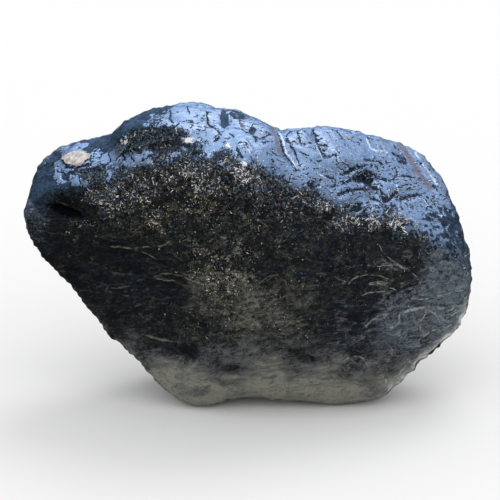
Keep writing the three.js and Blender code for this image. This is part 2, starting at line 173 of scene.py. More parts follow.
# Dark pits, and dimples that aren't dark: the oval and its depth.
PITS = [
    ((15.6, 11.5), (1.3, 0.6), 5, 0.4), ((16.8, 10.9), (0.9, 0.6), -35, 0.45),
    ((17.5, 10.2), (0.6, 0.35), -45, 0.35), ((15.1, 7.2), (1.1, 0.6), 40, 0.4),
    ((19.5, 8.6), (0.9, 0.5), 35, 0.3), ((8.6, 10.4), (0.6, 0.6), 0, 0.3),
    ((7.8, 8.9), (0.45, 0.55), 20, 0.3),
]
DIMPLES = [
    ((0.1, 18.4), (0.45, 0.45), 0, 0.2), ((-4.05, 20), (0.7, 1.5), 5, 0.35),
    ((-28.9, 14.9), (0.5, 0.4), 0, 0.2),
]
HOLLOW = ((-27.1, 6.8), (2.5, 0.5), -19)        # the hollow under the knob, which is also painted black as shade

# Grainy patches in the top.
GRAINY = [
    ((-14, 16.9), (4.6, 1.9), 8), ((-10.6, 15.9), (2.6, 1.4), -20), ((-22.6, 12.2), (2.2, 0.8), 15),
    ((-13, 15.5), (2, 0.9), 10), ((-3, 13.8), (2.2, 0.8), -35), ((19, 6.9), (1.8, 0.7), 10),
]

# Dull patches of the top: dark stone with a painted teal sheen.
DULL = [
    ((-30.3, 10.2), (2.6, 5.6), 28), ((-26, 10), (5, 1.2), 20), ((-21.4, 16.6), (3.2, 1.7), 22),
    ((-17.3, 19.2), (3.2, 1.6), 38), ((-28.6, 13.6), (1, 2.4), -25), ((-24.2, 17), (3, 0.6), 15),
    ((-4.05, 20), (0.6, 1.4), 5), ((-13.6, 21.3), (2.4, 0.5), 12), ((-26.8, 11.8), (0.6, 1), 30),
    ((-24, 12.2), (1.2, 0.8), 0),
]

# Where dull patches mix with shining ones: the oval and its strength.
MOTTLED = [
    ((27.4, 3.6), (3.6, 5.4), 28, 0.5), ((29.9, 5.5), (1.6, 5), 18, 0.2),
    ((26.1, 10.3), (0.8, 1.2), 42, 0.45), ((-9.6, 20.4), (4.2, 2.4), 0, 0.26),
    ((-2.6, 18.4), (4.4, 2.6), -25, 0.25), ((7, 16), (4, 2.2), -10, 0.2),
    ((0.1, 18.4), (0.55, 0.5), 0, 0.6), ((-1.5, 20.5), (0.6, 0.6), 0, 0.45),
    ((-2.6, 20.9), (1.2, 0.8), -30, 0.42), ((29.6, 9), (0.7, 3.5), 25, 0.4),
]

# How thickly small dark pits lie: the oval, and how much more than elsewhere on the top.
PITTED = [
    ((17, 10), (7.5, 4.2), -12, 0.75), ((9, 9.5), (7, 2.4), -22, 0.5), ((-9, 19.6), (3.6, 4.4), 0, -0.8),
    ((-13.2, 20.4), (2.6, 1.8), 10, 0.8), ((-1.6, 20.2), (2.6, 1.6), -25, 0.7),
    ((-16.6, 14.4), (2.2, 0.9), 20, -0.2), ((5, 16.6), (2.4, 2.6), 0, 0.35), ((12, 16), (4, 2), -10, 0.15),
    ((27.2, 9), (3, 6), 35, 0.6), ((-24, 13), (5, 4), 0, 0.5), ((-24.6, 16.1), (1.5, 0.4), 14, -0.4),
]

# Small shining patches in the dull and grainy places.
SHINING = [
    ((-27.6, 13.2), (0.75, 0.8), 30), ((-26.6, 12.4), (0.9, 0.3), -10), ((-25.4, 11.2), (0.9, 0.9), 10),
    ((-24.1, 10.7), (0.7, 0.45), 10), ((-21.3, 13.8), (1.3, 0.9), -35), ((-22.2, 15.1), (0.7, 0.8), 0),
    ((-24.9, 16.1), (1.4, 0.35), 12), ((-20.6, 12.6), (0.4, 0.5), 0), ((-17.4, 14.2), (2, 0.9), 22),
    ((-15.4, 15), (1.7, 0.5), 16), ((-11.4, 14.7), (1.7, 0.4), 28), ((-12.8, 13.5), (0.6, 0.4), 0),
    ((24, 4.6), (2, 0.7), 10), ((26.6, 4), (0.8, 0.2), -15), ((27.6, 8.6), (0.7, 1.2), 25),
    ((0.4, 10.2), (1.7, 0.5), -22), ((2.6, 9.2), (1, 0.3), -30), ((17.5, 6.6), (1.6, 0.8), 15),
    ((10.6, 9), (1.5, 0.6), -20),
]

# On the front, each with the oval and its strength: olive haze, dark patches, blue-grey layers and grit.
HAZE = [
    ((-1, -7), (10, 8), 0, 0.25), ((2, -9), (8, 5), 15, 0.15), ((-13, 7), (6, 3), 0, 0.06),
    ((27, -8.5), (5, 2.5), 20, 0.45), ((4, -11.5), (6, 4), 0, 0.15),
]
DARK = [
    ((-8.6, -13.8), (4.5, 1), -22, -0.4), ((-7.2, -18.9), (1.5, 0.6), 5, -0.35),
    ((5.8, -16.2), (1.3, 1.6), 5, -0.25), ((2.6, -12.6), (1.8, 0.9), 0, -0.35),
    ((-14, -13.2), (3, 0.8), -20, -0.35), ((12.6, -16.4), (2.2, 0.9), 5, -0.4),
    ((-2, -15.8), (1.8, 0.7), 10, -0.3), ((8.6, -14), (2.6, 1.2), -10, -0.35),
    ((-22, 2), (8, 5), -30, -0.3), ((-17, -4), (6, 4), -35, -0.25), ((10, 4), (8, 2), -15, -0.25),
    ((13, -3), (5, 7), 0, -0.15), ((0.5, 0.5), (3, 2), 0, -0.2),
]
BLUE = [
    ((31, -1), (6, 10), 0, 0.75), ((25, -9), (8, 6), 30, 0.72), ((-18, -8), (7, 7), -40, 0.22),
    ((15, -10), (7, 6), 0, 0.28), ((-31, 8), (2.5, 7), 0, 0.5), ((28, 3), (5, 4), 0, 0.35),
]
GRIT = [
    ((-4.5, -2.5), (5, 4.5), -20, 1), ((-9.5, 6.5), (9, 5.5), -5, 0.55), ((3, 4.5), (8, 4), 0, 0.4),
    ((2, -6.5), (8, 6), 10, 0.5), ((14, 1), (9, 6), 0, 0.3), ((-8, -9.5), (7, 3), -15, 0.35),
    ((22, -4), (7, 5), 0, 0.25), ((8, -12), (8, 3), 0, 0.2), ((-20, 5.5), (7, 3), 0, 0.3),
]

# Where pale grains and painted glints crowd: the oval and its strength.
PALE_GRAINS_AND_PAINTED_GLINTS = [
    ((-1.2, 12.4), (3.2, 1.5), -35, 0.2), ((19, 5), (6, 1.3), 0, 0.22), ((-8, 9.6), (4.5, 3.5), -15, 0.12),
    ((-18.5, 8.6), (5, 1.6), 5, 0.1), ((-13.5, 5.6), (1.6, 3.2), 40, 0.09),
    ((-4.5, -2.5), (3.5, 2.4), -20, 0.09), ((-12.5, 12), (5, 1.5), 5, 0.08),
    ((9.5, 7.8), (4, 1), -25, 0.14), ((-13.5, 16.9), (4.5, 1.8), 8, -0.03),
]

# Where the stone isn't granular.
BARE = [((-30, 7), (5, 8.5), 0), ((31.5, -1), (6, 14), 0), ((-26.3, 7.2), (4.2, 1.9), -12)]

# The broken, flaky edge at the lower right, which is painted light as if lit from behind.
PAINTED_LIGHT_RIM = [
    (31.6, -5), (31.2, -7.5), (30.2, -10.2), (27.8, -12.3), (24.9, -14.5), (22.6, -17.2), (20.4, -18.9),
    (18.4, -19.6),
]

# Light tan veins, and ledge and flaky edges with a painted highlight: the path and its half width.
VEINS_AND_PAINTED_LEDGE_HIGHLIGHTS = [
    ([(-20.1, 1.7), (-18.7, 1.6), (-17.3, 1.4), (-15.2, 1.6), (-13.1, 1.7), (-12.4, 2),
      (-11.9, 2.4)], 0.15),
    ([(-19, 1.6), (-17.8, 1.4), (-15.8, 0.9), (-14.7, 0.4), (-13.8, -0.1)], 0.11),
    ([(-14.1, -2.7), (-12.8, -2.2), (-11.5, -2.2), (-9.8, -2.7), (-8.6, -3.2), (-7.5, -3.6)], 0.12),
    ([(-13.8, -2.9), (-12.4, -3.2), (-10.9, -3.2)], 0.13),
    ([(-20.1, -4.3), (-18.8, -4.3), (-17.8, -4)], 0.09),
    ([(-15, -11.2), (-13.5, -11.6), (-12.1, -11.9), (-10.6, -12.1)], 0.22),
    ([(18.3, 1.9), (18.9, 0.6), (20.7, -0.7), (22.6, -1.7), (23.7, -2.7), (24.3, -3.7)], 0.07),
    ([(16.6, -1), (18.4, -1.2), (20.7, -1), (22, -1.6)], 0.1),
    ([(13.9, -3.6), (14.8, -2.8), (16.4, -2.4), (18.4, -2.6), (20.2, -3.3)], 0.1),
    ([(16.6, -3.8), (18.2, -3.4), (20, -3.6)], 0.1), ([(15.6, -5.4), (17, -5), (19, -4.8)], 0.11),
    ([(17, -3.9), (18.1, -3.7), (19.1, -3.8), (19.8, -4.2), (20.7, -4.6)], 0.1),
    ([(23.2, -5.8), (24.2, -6), (25.3, -5.9), (26.5, -5.6), (27.9, -5.3), (28.9, -4.9),
      (30.2, -4.7)], 0.11),
    ([(19.6, -10.1), (20.6, -9.8), (21.3, -9.2), (21.4, -8.3), (21.9, -7.9), (23, -7.5), (25.3, -7.2),
      (28.5, -7.5), (29.3, -6.9), (30.2, -6), (30.9, -5.6)], 0.16),
    ([(24.2, -10.1), (24, -9.2), (24.7, -8.6), (25.2, -7.8), (26.2, -7.9), (26.8, -8.6), (27, -9.2)], 0.1),
    ([(22.1, -12.5), (23, -12.8), (24.2, -12.6), (25.3, -12.1), (26.5, -11.9), (27.8, -11.5)], 0.11),
    ([(23.4, -12.1), (24.5, -11.5), (25.3, -10.8)], 0.12),
    ([(28.2, -8.6), (29.2, -7.9), (30.2, -7.6)], 0.12),
    ([(15.5, -10.6), (17, -9.4), (18.1, -8.5), (19.3, -8.1)], 0.13),
    ([(18.8, -17), (19.3, -17.7), (19, -18.4)], 0.12),
    ([(20.6, -17.1), (21.3, -16.4), (22, -15.5), (22.9, -14.8)], 0.15),
    ([(26, -10.4), (27.4, -10.2), (28.6, -9.6)], 0.12),
    ([(13.2, -14.8), (14.1, -14.2), (15.1, -14.1), (16, -14.5), (16.5, -15.2)], 0.12),
    ([(1, -3.6), (2.4, -2.6), (3.6, -2.4), (4.6, -3), (5.2, -4.4)], 0.08),
    ([(-4.8, -6), (-3, -7.8), (-0.8, -8.6)], 0.09), ([(-2, -8.4), (0.4, -9.2), (1.6, -10.4)], 0.08),
    ([(1.6, -7.4), (3.4, -6), (5.4, -5.2)], 0.07), ([(-4, 5.2), (-1.4, 4.6), (0.8, 5.6), (2.2, 4.6)], 0.08),
    ([(5, 6.6), (7.6, 5.6), (10, 6)], 0.08),
]

# White spots, and brown bands and thin painted highlight lines with their half widths.
WHITE_SPOTS = [
    ((-18, 16.8), (0.6, 0.5), 30), ((-9.2, 17), (0.75, 0.55), -15), ((-3.6, 16.2), (0.5, 0.45), 0),
    ((-1.1, 13.5), (0.35, 0.4), 0), ((-2.3, 12.9), (0.3, 0.3), 0), ((-24.7, 4.6), (0.24, 0.16), 10),
    ((-29.8, 4.9), (0.14, 0.12), 0), ((-26.2, 5.3), (0.13, 0.12), 0),
]
BROWN_BANDS = [
    ([(-2.2, 20.5), (-1.7, 19.4), (-1, 18.6)], 0.2),
    ([(21, 16.8), (21.5, 16), (22.4, 14.8), (23.2, 13.4), (24, 12.1), (24.9, 10.9), (25.6, 10.1)], 0.5),
    ([(18.4, 17.5), (19.6, 17.3), (21, 16.7)], 0.3),
    ([(3, 18.8), (3.4, 17.4), (3.6, 16.3), (3.9, 15.5), (4.2, 15)], 0.3),
]
PAINTED_HIGHLIGHT_LINES = [
    ([(3.9, 18), (4.3, 17.3), (4.5, 16.3), (4.8, 15.2), (5.5, 14.4), (6.1, 13.5), (6.5, 12.9)], 0.12),
    ([(-3.4, 20.9), (-3.2, 20.1)], 0.1), ([(-2, 19.6), (-1.7, 18.8)], 0.08),
    ([(-1.2, 18.7), (-0.9, 18.3)], 0.08),
    ([(16.5, 17), (17, 15.8), (18, 15.4), (19, 15.5), (19.4, 15.1)], 0.12),
    ([(-6.7, 20.8), (-6.6, 19.4), (-6.2, 18.8), (-5.4, 18.6), (-4.9, 18)], 0.07),
    ([(-4, 16), (-3.8, 15.2), (-3.5, 14.4)], 0.1), ([(-5.2, 21.6), (-4.7, 21.1)], 0.2),
    ([(20.8, 10.4), (21, 9.6)], 0.12), ([(23.4, 15.2), (24, 14.4)], 0.2),
    ([(24.6, 13.4), (25.7, 11.9)], 0.16), ([(26.1, 11.4), (26.5, 10.7)], 0.2),
    ([(9, 16.6), (9.5, 15.4), (10.1, 14.4)], 0.1), ([(-1, 16.1), (-0.6, 15.5), (-0.3, 15.1)], 0.1),
    ([(12.4, 18.2), (13.4, 17.2), (14, 17.4)], 0.07), ([(9.4, 12.2), (10.6, 11.6)], 0.07),
    ([(19.4, 9.6), (19.7, 8.9)], 0.1), ([(11.4, 15.6), (12.6, 15.4)], 0.08),
]
QUARTZ = ((-25.3, 14.4), (2.0, 1.0), 9)         # the grain of quartz in the knob

# ---- noises ----

# Each layer's strength, spacing and seed and, where it is drawn out, its stretch along the stone's axes.
NOISES = {
    "ridge": [(1.5, 2.0, 11), (1.3, 0.9, 12, (0.7, 1.5, 1)), (0.8, 0.5, 13)],
    "patch edge": [(0.35, 0.9, 14), (0.25, 0.5, 15)],
    "clumps": [(1, 2.2, 21), (0.5, 0.9, 22)],
    "rough": [(0.10, 1.5, 23), (0.07, 0.7, 24)],
    "worn": [(0.10, 3.4, 25, (1, 1.6, 1)), (0.04, 1.3, 26), (0.02, 0.7, 38)],
    "turned away": [(0.30, 1.9, 64), (0.26, 0.9, 65)],
    "creases": [(1, 2.3, 28, (1.5, 0.8, 1)), (0.4, 0.9, 29)],
    "creased": [(1, 4.5, 30)],
    "bedding": [(1.5, 7, 31), (0.5, 2.1, 32, (2, 1, 1))],
    "layered": [(1, 6, 33)],
    "wisps": [(1, 2.6, 34, (2.2, 0.8, 1)), (0.45, 1.0, 35, (2, 0.8, 1))],
    "rim": [(0.35, 1.6, 36), (0.2, 0.7, 37)],
    "chipped": [(1, 5, 45)],
    "haze": [(0.30, 4.0, 54, (1.6, 1, 1)), (0.16, 1.6, 55, (1.6, 1, 1))],
    "low": [(0.30, 5, 67, (1.6, 1, 1)), (0.24, 2, 68, (1.5, 1, 1))],
    "pitted": [(0.15, 3.0, 56)],
    "grit": [(0.8, 2.6, 57)],
    "flow": [(4, 6, 58)],
    "back haze": [(0.4, 9, 51)],
    "back blue": [(0.4, 8, 52)],
    "back grit": [(1, 7, 53)],
    "back dull": [(0.5, 6, 62)],
    "chains": [(1, 1.6, 59), (0.5, 0.7, 60)],
    "pale": [(0.08, 2.0, 61)],
    "pale crowds": [(1, 1.3, 66)],
}


# ---- numbers that vary over the stone ----


def smooth(low, high, value):
    share = np.clip((value - low) / (high - low), 0, 1)
    return share * share * (3 - 2 * share)


def corner_hash(cell, seed):
    """A whole number that looks random, the same each time for a corner of the grid."""
    with np.errstate(over="ignore"):
        x, y, z = (cell[:, axis].astype(np.int64).astype(np.uint32) for axis in range(3))
        h = x * np.uint32(0x9E3779B1) ^ y * np.uint32(0x85EBCA77) ^ z * np.uint32(0xC2B2AE3D)
        h ^= np.uint32(seed * 0x27D4EB2F & 0xFFFFFFFF)
        h = (h ^ h >> np.uint32(15)) * np.uint32(0x2C1B3C6D)
        h = (h ^ h >> np.uint32(12)) * np.uint32(0x297A2D39)
    return h ^ h >> np.uint32(15)


def corner_slope(h, x, y, z):
    h = h & np.uint32(15)
    first = np.where(h < 8, x, y)
    second = np.where(h < 4, y, np.where((h == 12) | (h == 14), x, z))
    return np.where(h & 1, -first, first) + np.where(h & 2, -second, second)


def noise(points, spacing, seed, stretch=(1, 1, 1)):
    """Smooth noise from about -1 to 1. A stretch of 3 along an axis draws it out 3 times along that axis."""
    place = points / (spacing * np.array(stretch, float))
    corner = np.floor(place)
    inside = place - corner
    ease = inside**3 * (inside * (inside * 6 - 15) + 10)
    total = 0
    for step in np.ndindex(2, 2, 2):
        share = np.prod(np.where(step, ease, 1 - ease), axis=1)
        slope = corner_slope(corner_hash(corner + step, seed), *(inside - step).T)
        total = total + slope * share
    return total


def scattered(points, spacing, seed):
    """Distances to the nearest and the second nearest of a set of scattered points, in steps of the grid."""
    place = points / spacing
    cube = np.floor(place)
    nearest = np.full(len(points), 9.0)
    second = np.full(len(points), 9.0)
    for step in np.ndindex(3, 3, 3):
        there = cube + step - 1
        h = corner_hash(there, seed)
        offset = np.stack([h >> np.uint32(shift) & np.uint32(1023) for shift in (0, 10, 20)], axis=1) / 1023
        distance = np.linalg.norm(there + offset - place, axis=1)
        second = np.minimum(second, np.maximum(nearest, distance))
        nearest = np.minimum(nearest, distance)
    return nearest, second


class Beside:
    """Where each place on the stone lies beside a path: distance, share of the way along, and side."""

    def __init__(self, seen, path):
        path = np.array(path, float)
        legs = np.diff(path, axis=0)
        lengths = np.linalg.norm(legs, axis=1)
        self.distance = np.full(len(seen), 1e9)
        self.along = np.zeros(len(seen))
        self.left = np.ones(len(seen))
        passed = 0
        for start, leg, length in zip(path, legs, lengths):
            way = leg / length
            gap = seen - start
            run = np.clip(gap @ way, 0, length)
            distance = np.linalg.norm(gap - run[:, None] * way, axis=1)
            closer = distance < self.distance
            self.distance[closer] = distance[closer]
            self.along[closer] = ((passed + run) / lengths.sum())[closer]
            self.left[closer] = np.sign(gap[:, 1] * way[0] - gap[:, 0] * way[1])[closer]
            passed += length

    @property
    def signed(self):
        return self.distance * self.left

    def fade(self, ends=0.15):
        return smooth(0, ends, self.along) * smooth(0, ends, 1 - self.along)


def oval(seen, middle, half, turn):
    """1 in the middle of an oval, 0 at its rim, and below 0 outside it."""
    angle = math.radians(turn)
    gap = seen - np.array(middle)
    along = (gap[:, 0] * math.cos(angle) + gap[:, 1] * math.sin(angle)) / half[0]
    across = (gap[:, 1] * math.cos(angle) - gap[:, 0] * math.sin(angle)) / half[1]
    return 1 - np.hypot(along, across)


def added_noise(points, name):
    return sum(strength * noise(points, *layer) for strength, *layer in NOISES[name])


def crossing(points, name):
    """About how far each point is from where a noise crosses zero, in millimetres, with the noise's sign."""
    step = 0.05
    value = added_noise(points, name)
    slopes = [(added_noise(points + step * way, name) - value) / step for way in np.eye(3)]
    slope = np.sqrt(sum(along**2 for along in slopes))
    return value / np.maximum(slope, 0.3 * np.median(slope))


def nearest_line(seen, lines):
    """How far, in half widths, each place is to the side of the nearest of some lines, and how far from it.

    The side changes sign across the line, so that its middle stays sharp between the mesh's points.
    """
    side = np.full(len(seen), FAR)
    away = np.full(len(seen), FAR)
    for path, half_width, *_ in lines:
        beside = Beside(seen, path)
        distance = beside.distance / half_width
        closer = distance < away
        side[closer] = (beside.signed / half_width)[closer]
        away[closer] = distance[closer]
    return side, away


# ---- the fine mesh ----


def icosahedron():
    """Its twelve corners, and its twenty faces as three corners each."""
    golden = (1 + math.sqrt(5)) / 2
    signs = [(a, b) for a in (-1, 1) for b in (-golden, golden)]
    corners = np.array([shape for a, b in signs for shape in ((0, a, b), (a, b, 0), (b, 0, a))], float)
    edge = 2.0
    near = np.abs(np.linalg.norm(corners[:, None] - corners[None], axis=2) - edge) < 0.01
    trios = ((a, b, c) for a in range(12) for b in range(a) for c in range(b))
    return corners, [(a, b, c) for a, b, c in trios if near[a, b] and near[b, c] and near[a, c]]


def split_face(a, b, c, steps, first):
    """Points spread evenly over a face, and the small triangles between them, numbered from first."""
    number = {}
    points = []
    for i in range(steps + 1):
        for j in range(steps + 1 - i):
            number[i, j] = first + len(points)
            points.append(a * (steps - i - j) + b * i + c * j)
    triangles = []
    for i in range(steps):
        for j in range(steps - i):
            triangles.append((number[i, j], number[i + 1, j], number[i, j + 1]))
            if i + j < steps - 1:
                triangles.append((number[i + 1, j], number[i + 1, j + 1], number[i, j + 1]))
    return points, triangles


def fine_sphere(steps):
    """Points spread evenly over a sphere, and the triangles between them: an icosahedron with split faces."""
    corners, faces = icosahedron()
    points = []
    triangles = []
    for face in faces:
        a, b, c = corners[list(face)]
        if np.dot(np.cross(b - a, c - a), a) < 0:
            b, c = c, b
        more_points, more_triangles = split_face(a, b, c, steps, len(points))
        points += more_points
        triangles += more_triangles
    points = np.array(points)
    points /= np.linalg.norm(points, axis=1)[:, None]
    _, first, same = np.unique(np.round(points, 6), axis=0, return_index=True, return_inverse=True)
    return points[first], same.reshape(-1)[np.array(triangles)]


def own_axes():
    """The stone's own axes as the rows of a matrix: right, up the broad face, and out of it."""
    return np.array([(1, 0, 0), UP_FACE, OUT_OF_FACE], float)


def point_normals(points, triangles):
    a, b, c = (points[triangles[:, corner]] for corner in range(3))
    across = np.cross(b - a, c - a)
    normals = np.zeros(points.shape)
    for corner, axis in np.ndindex(3, 3):
        normals[:, axis] += np.bincount(triangles[:, corner], across[:, axis], len(points))
    return normals / np.linalg.norm(normals, axis=1)[:, None]


def smoothed(points, triangles, rounds):
    """Each point moved to the middle of its neighbours, the given number of times."""
    start = triangles[:, [0, 1, 2]].ravel()
    end = triangles[:, [1, 2, 0]].ravel()
    neighbours = np.bincount(start, minlength=len(points))[:, None]
    for _ in range(rounds):
        total = np.stack([np.bincount(start, points[end, axis], len(points)) for axis in range(3)], axis=1)
        points = total / neighbours
    return points


def cast_on_solid(node, directions):
    """Where rays from the stone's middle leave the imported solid, in the stone's own axes, in millimetres."""
    solid = node.data
    corners = [tuple(v.co / MM) for v in solid.vertices]
    tree = BVHTree.FromPolygons(corners, [tuple(p.vertices) for p in solid.polygons])
    axes = own_axes()
    reach = 100
    hits = [tree.ray_cast(MIDDLE + Vector(way) * reach, -Vector(way))[0] for way in directions @ axes]
    return (np.array(hits) - np.array(MIDDLE)) @ axes.T


def seen_from_front(points):
    """Each point's x and y as the camera's perspective puts them, at the scale of the stone's middle."""
    return points[:, :2] * (VIEW_DISTANCE / (VIEW_DISTANCE - points[:, 2]))[:, None]


class Surface:
    """The smoothed stone: its points, how each one faces, and where on the stone it is."""

    def __init__(self, points, triangles):
        self.points = points
        self.normals = point_normals(points, triangles)
        self.seen = seen_from_front(points)
        self.right = self.seen[:, 0]
        self.outward = self.normals[:, 2]
        self.upward = self.normals @ own_axes()[:, 2]
        self.front = smooth(-0.1, 0.3, self.outward)
        self.back = 1 - self.front
        self.lift = (points @ own_axes())[:, 2] + MIDDLE.z
        self.on_flat = smooth(0.7, 0.2, self.lift) * smooth(-0.6, -0.9, self.upward)
        self.above = self.above_ridge()
        self.top = smooth(-0.3, 0.3, self.above)
        self.rough = 1 - self.top
        self.clumps = self.noise("clumps")
        self.granular = self.granular_share()
        self.layered = self.rough * smooth(-0.25, 0.35, self.noise("layered")) * (1 - self.granular)
        self.bedding = (points[:, 1] + 0.22 * points[:, 0] + self.noise("bedding")) / LAYER_SPACING
        self.wisps = crossing(points, "wisps")
        self.creases = crossing(points, "creases")
        self.rim = Beside(self.seen, PAINTED_LIGHT_RIM)

    def noise(self, name):
        return added_noise(self.points, name)

    def oval(self, place):
        return oval(self.seen, *place)

    def patches(self, ovals):
        """Where ovals with a strength at the end of each lie, added up."""
        return sum(strength * smooth(-0.5, 0.5, self.oval(place)) for *place, strength in ovals)

    def near_rim(self, far, near):
        """1 nearer to the rim that is painted light than near, 0 beyond far, in millimetres."""
        return smooth(far, near, self.rim.distance) * self.rim.fade(0.1)

    def above_ridge(self):
        """How far each point is inside the worn top, in millimetres: negative on the granular front."""
        front = smooth(-0.15, 0.25, self.outward)
        ahead = Beside(self.seen, RIDGE).signed
        behind = 7 * (self.upward - 0.52)
        above = front * ahead + (1 - front) * behind + self.noise("ridge")
        edge = self.noise("patch edge")
        for patch in GRAINY:
            inside = self.oval(patch) * min(patch[1]) * 2
            above = np.where(front > 0.2, np.minimum(above, 2 * edge - inside), above)
        for patch in SHINING:
            inside = self.oval(patch) * min(patch[1]) * 2
            above = np.where(front > 0.2, np.maximum(above, edge + inside), above)
        return above

    def granular_share(self):
        """How far the stone is all grains: close below the ridge, and less far down towards the right."""
        reach = GRAINS_REACH * self.front * smooth(14, 0, self.right)
        reach = reach + 1.4 + 0.5 * smooth(10, 18, self.right)
        share = self.rough * smooth(1, 0.25, -(self.above + 1.5 * self.clumps) / reach)
        for patch in BARE:
            share *= 1 - smooth(-0.3, 0.3, self.oval(patch))
        return share


# ---- raising the relief ----


def forms(stone):
    """Cracks, ledges, pits, the hollow and the grain of quartz."""
    height = np.zeros(len(stone.points))
    for path, half_width, depth in CRACKS:
        beside = Beside(stone.seen, path)
        across = beside.distance / max(half_width, NARROWEST_GROOVE)
        height -= CRACK_SHARE * depth * np.exp(-(across**2)) * (0.3 + 0.7 * beside.fade())
    for path, rise, reach in LEDGES.values():
        beside = Beside(stone.seen, path)
        reaching = np.exp(-np.maximum(beside.signed, 0) / reach)
        height += rise * smooth(-0.12, 0.12, beside.signed) * reaching * beside.fade()
    for *pit, depth in PITS + DIMPLES:
        height -= PIT_SHARE * depth * smooth(-0.25, 0.35, stone.oval(pit))
    height -= HOLLOW_DEPTH * smooth(-0.5, 0.6, stone.oval(HOLLOW))
    height += QUARTZ_RISE * smooth(-0.15, 0.2, stone.oval(QUARTZ))
    return smooth(0.05, 0.35, stone.outward) * height


def worn_relief(stone):
    """The soft waves of the worn top, and creases with one side over the other."""
    creased = smooth(-0.1, 0.3, stone.noise("creased"))
    creases = creased * CREASE_RISE * smooth(-0.15, 0.15, stone.creases)
    return stone.top * (stone.noise("worn") + creases)


def rough_relief(stone):
    """Lumps and raised fibres, more lumps on the crest and the sides, and the flaky lower right edge."""
    fibres = WISP_RISE * np.exp(-((stone.wisps / WISP_WIDTH) ** 2))
    turned_away = smooth(0.5, 0.1, np.abs(stone.outward)) * stone.noise("turned away")
    flaky = stone.near_rim(2.4, 0.4) * stone.noise("rim")
    return stone.rough * (stone.noise("rough") + fibres) + turned_away + flaky


def grains_and_layers(stone):
    """Bumps as large as the crystals, and layers: the surface climbs slowly and drops at each one's edge."""
    near, _ = scattered(stone.points, GRAIN_SPACING, 27)
    climb = stone.bedding - np.floor(stone.bedding)
    layers = stone.layered * LAYER_RISE * (climb - smooth(0.86, 1.0, climb) - 0.4)
    return stone.granular * GRAIN_RISE * (0.5 - near) + layers


def chips(stone):
    """Shell-shaped chips, deepest on the back."""
    warp = np.stack([noise(stone.points, 3, seed) for seed in (41, 42, 43)], axis=1)
    near, second = scattered(stone.points + 0.9 * warp, CHIP_SPACING, 44)
    chipped = stone.rough * smooth(-0.2, 0.3, stone.noise("chipped"))
    depth = CHIP_DEPTH + BACK_CHIP_DEPTH * stone.back
    return chipped * depth * (smooth(0.0, 0.25, second - near) - 1)


def relief(stone):
    """How far each point of the smoothed stone is raised: not at all where the stone rests."""
    parts = (forms, worn_relief, rough_relief, grains_and_layers, chips)
    return sum(part(stone) for part in parts) * (1 - stone.on_flat)


# ---- the numbers that the materials read ----


def top_fields(stone):
    """Where the worn top is, and what breaks its gloss: pits, dull patches, bands, quartz and white spots."""
    front, back = stone.front, stone.back
    spots = np.max([stone.oval(spot) for spot in WHITE_SPOTS], axis=0)
    bands = [1 - Beside(stone.seen, path).distance / half_width for path, half_width in BROWN_BANDS]
    pits = np.max([stone.oval(pit) for *pit, _ in PITS], axis=0)
    pitted = 0.45 + stone.patches(PITTED) + stone.noise("pitted")
    dull = [smooth(-0.4, 0.5, stone.oval(patch)) for patch in DULL] + [stone.patches(MOTTLED)]
    shining = np.max([smooth(-0.3, 0.2, stone.oval(patch)) for patch in SHINING], axis=0)
    return {
        "above_ridge": stone.above,
        "creases": stone.creases,
        "pitted": np.clip(front * pitted + back * 0.4, 0, 1.1),
        "pits": np.where(front > 0.2, pits, -1),
        "dull": front * np.max(dull, axis=0) * (1 - shining) + back * (0.30 + stone.noise("back dull")),
        "band": np.where(front > 0.1, np.max(bands, axis=0), -1),
        "quartz": np.where(front > 0.5, stone.oval(QUARTZ), -1),
        "spots": np.where(front > 0.5, spots, -1),
    }


def front_fields(stone, grit):
    """Where the rough stone is gritty, hazy, low, blue, layered or flowing, its rim painted light, and its
    hollow painted shade.
    """
    front, back = stone.front, stone.back
    dark = stone.patches(DARK)
    haze = np.minimum(stone.patches(HAZE), 0.9) + dark + stone.noise("haze")
    # lower on the front: it sets the painted reflection of the pale ground, lighter towards the bottom
    lowness = (-8 - stone.points[:, 1]) / 11.5 + stone.noise("low")
    return {
        "front": front,
        "bedding": stone.bedding,
        "layered": stone.layered,
        "wisps": stone.wisps,
        "grit": np.clip(grit, 0, 1),
        "haze": front * haze + back * (0.2 + stone.noise("back haze")),
        "low": lowness + 0.35 * dark * front - 0.15 * back,
        "blue": front * stone.patches(BLUE) + back * (0.2 + stone.noise("back blue")),
        "flow": stone.rough * smooth(4, 20, stone.right + stone.noise("flow")),
        "rim": front * stone.near_rim(2.2, 0.1),
        "hollow": front * stone.oval(HOLLOW),
    }


def line_fields(stone):
    """Where each point is beside the nearest of the veins and painted ledge highlights, the cracks and the
    painted highlight lines, as nearest_line says it.
    """
    facing = stone.outward > 0.15
    fields = {}
    for name, lines in (("vein_and_ledge_highlight", VEINS_AND_PAINTED_LEDGE_HIGHLIGHTS), ("crack", CRACKS), ("painted_highlight_line", PAINTED_HIGHLIGHT_LINES)):
        side, away = nearest_line(stone.seen, lines)
        fields[name + "_side"] = side
        fields[name + "_away"] = np.where(facing, away, FAR)
    return fields


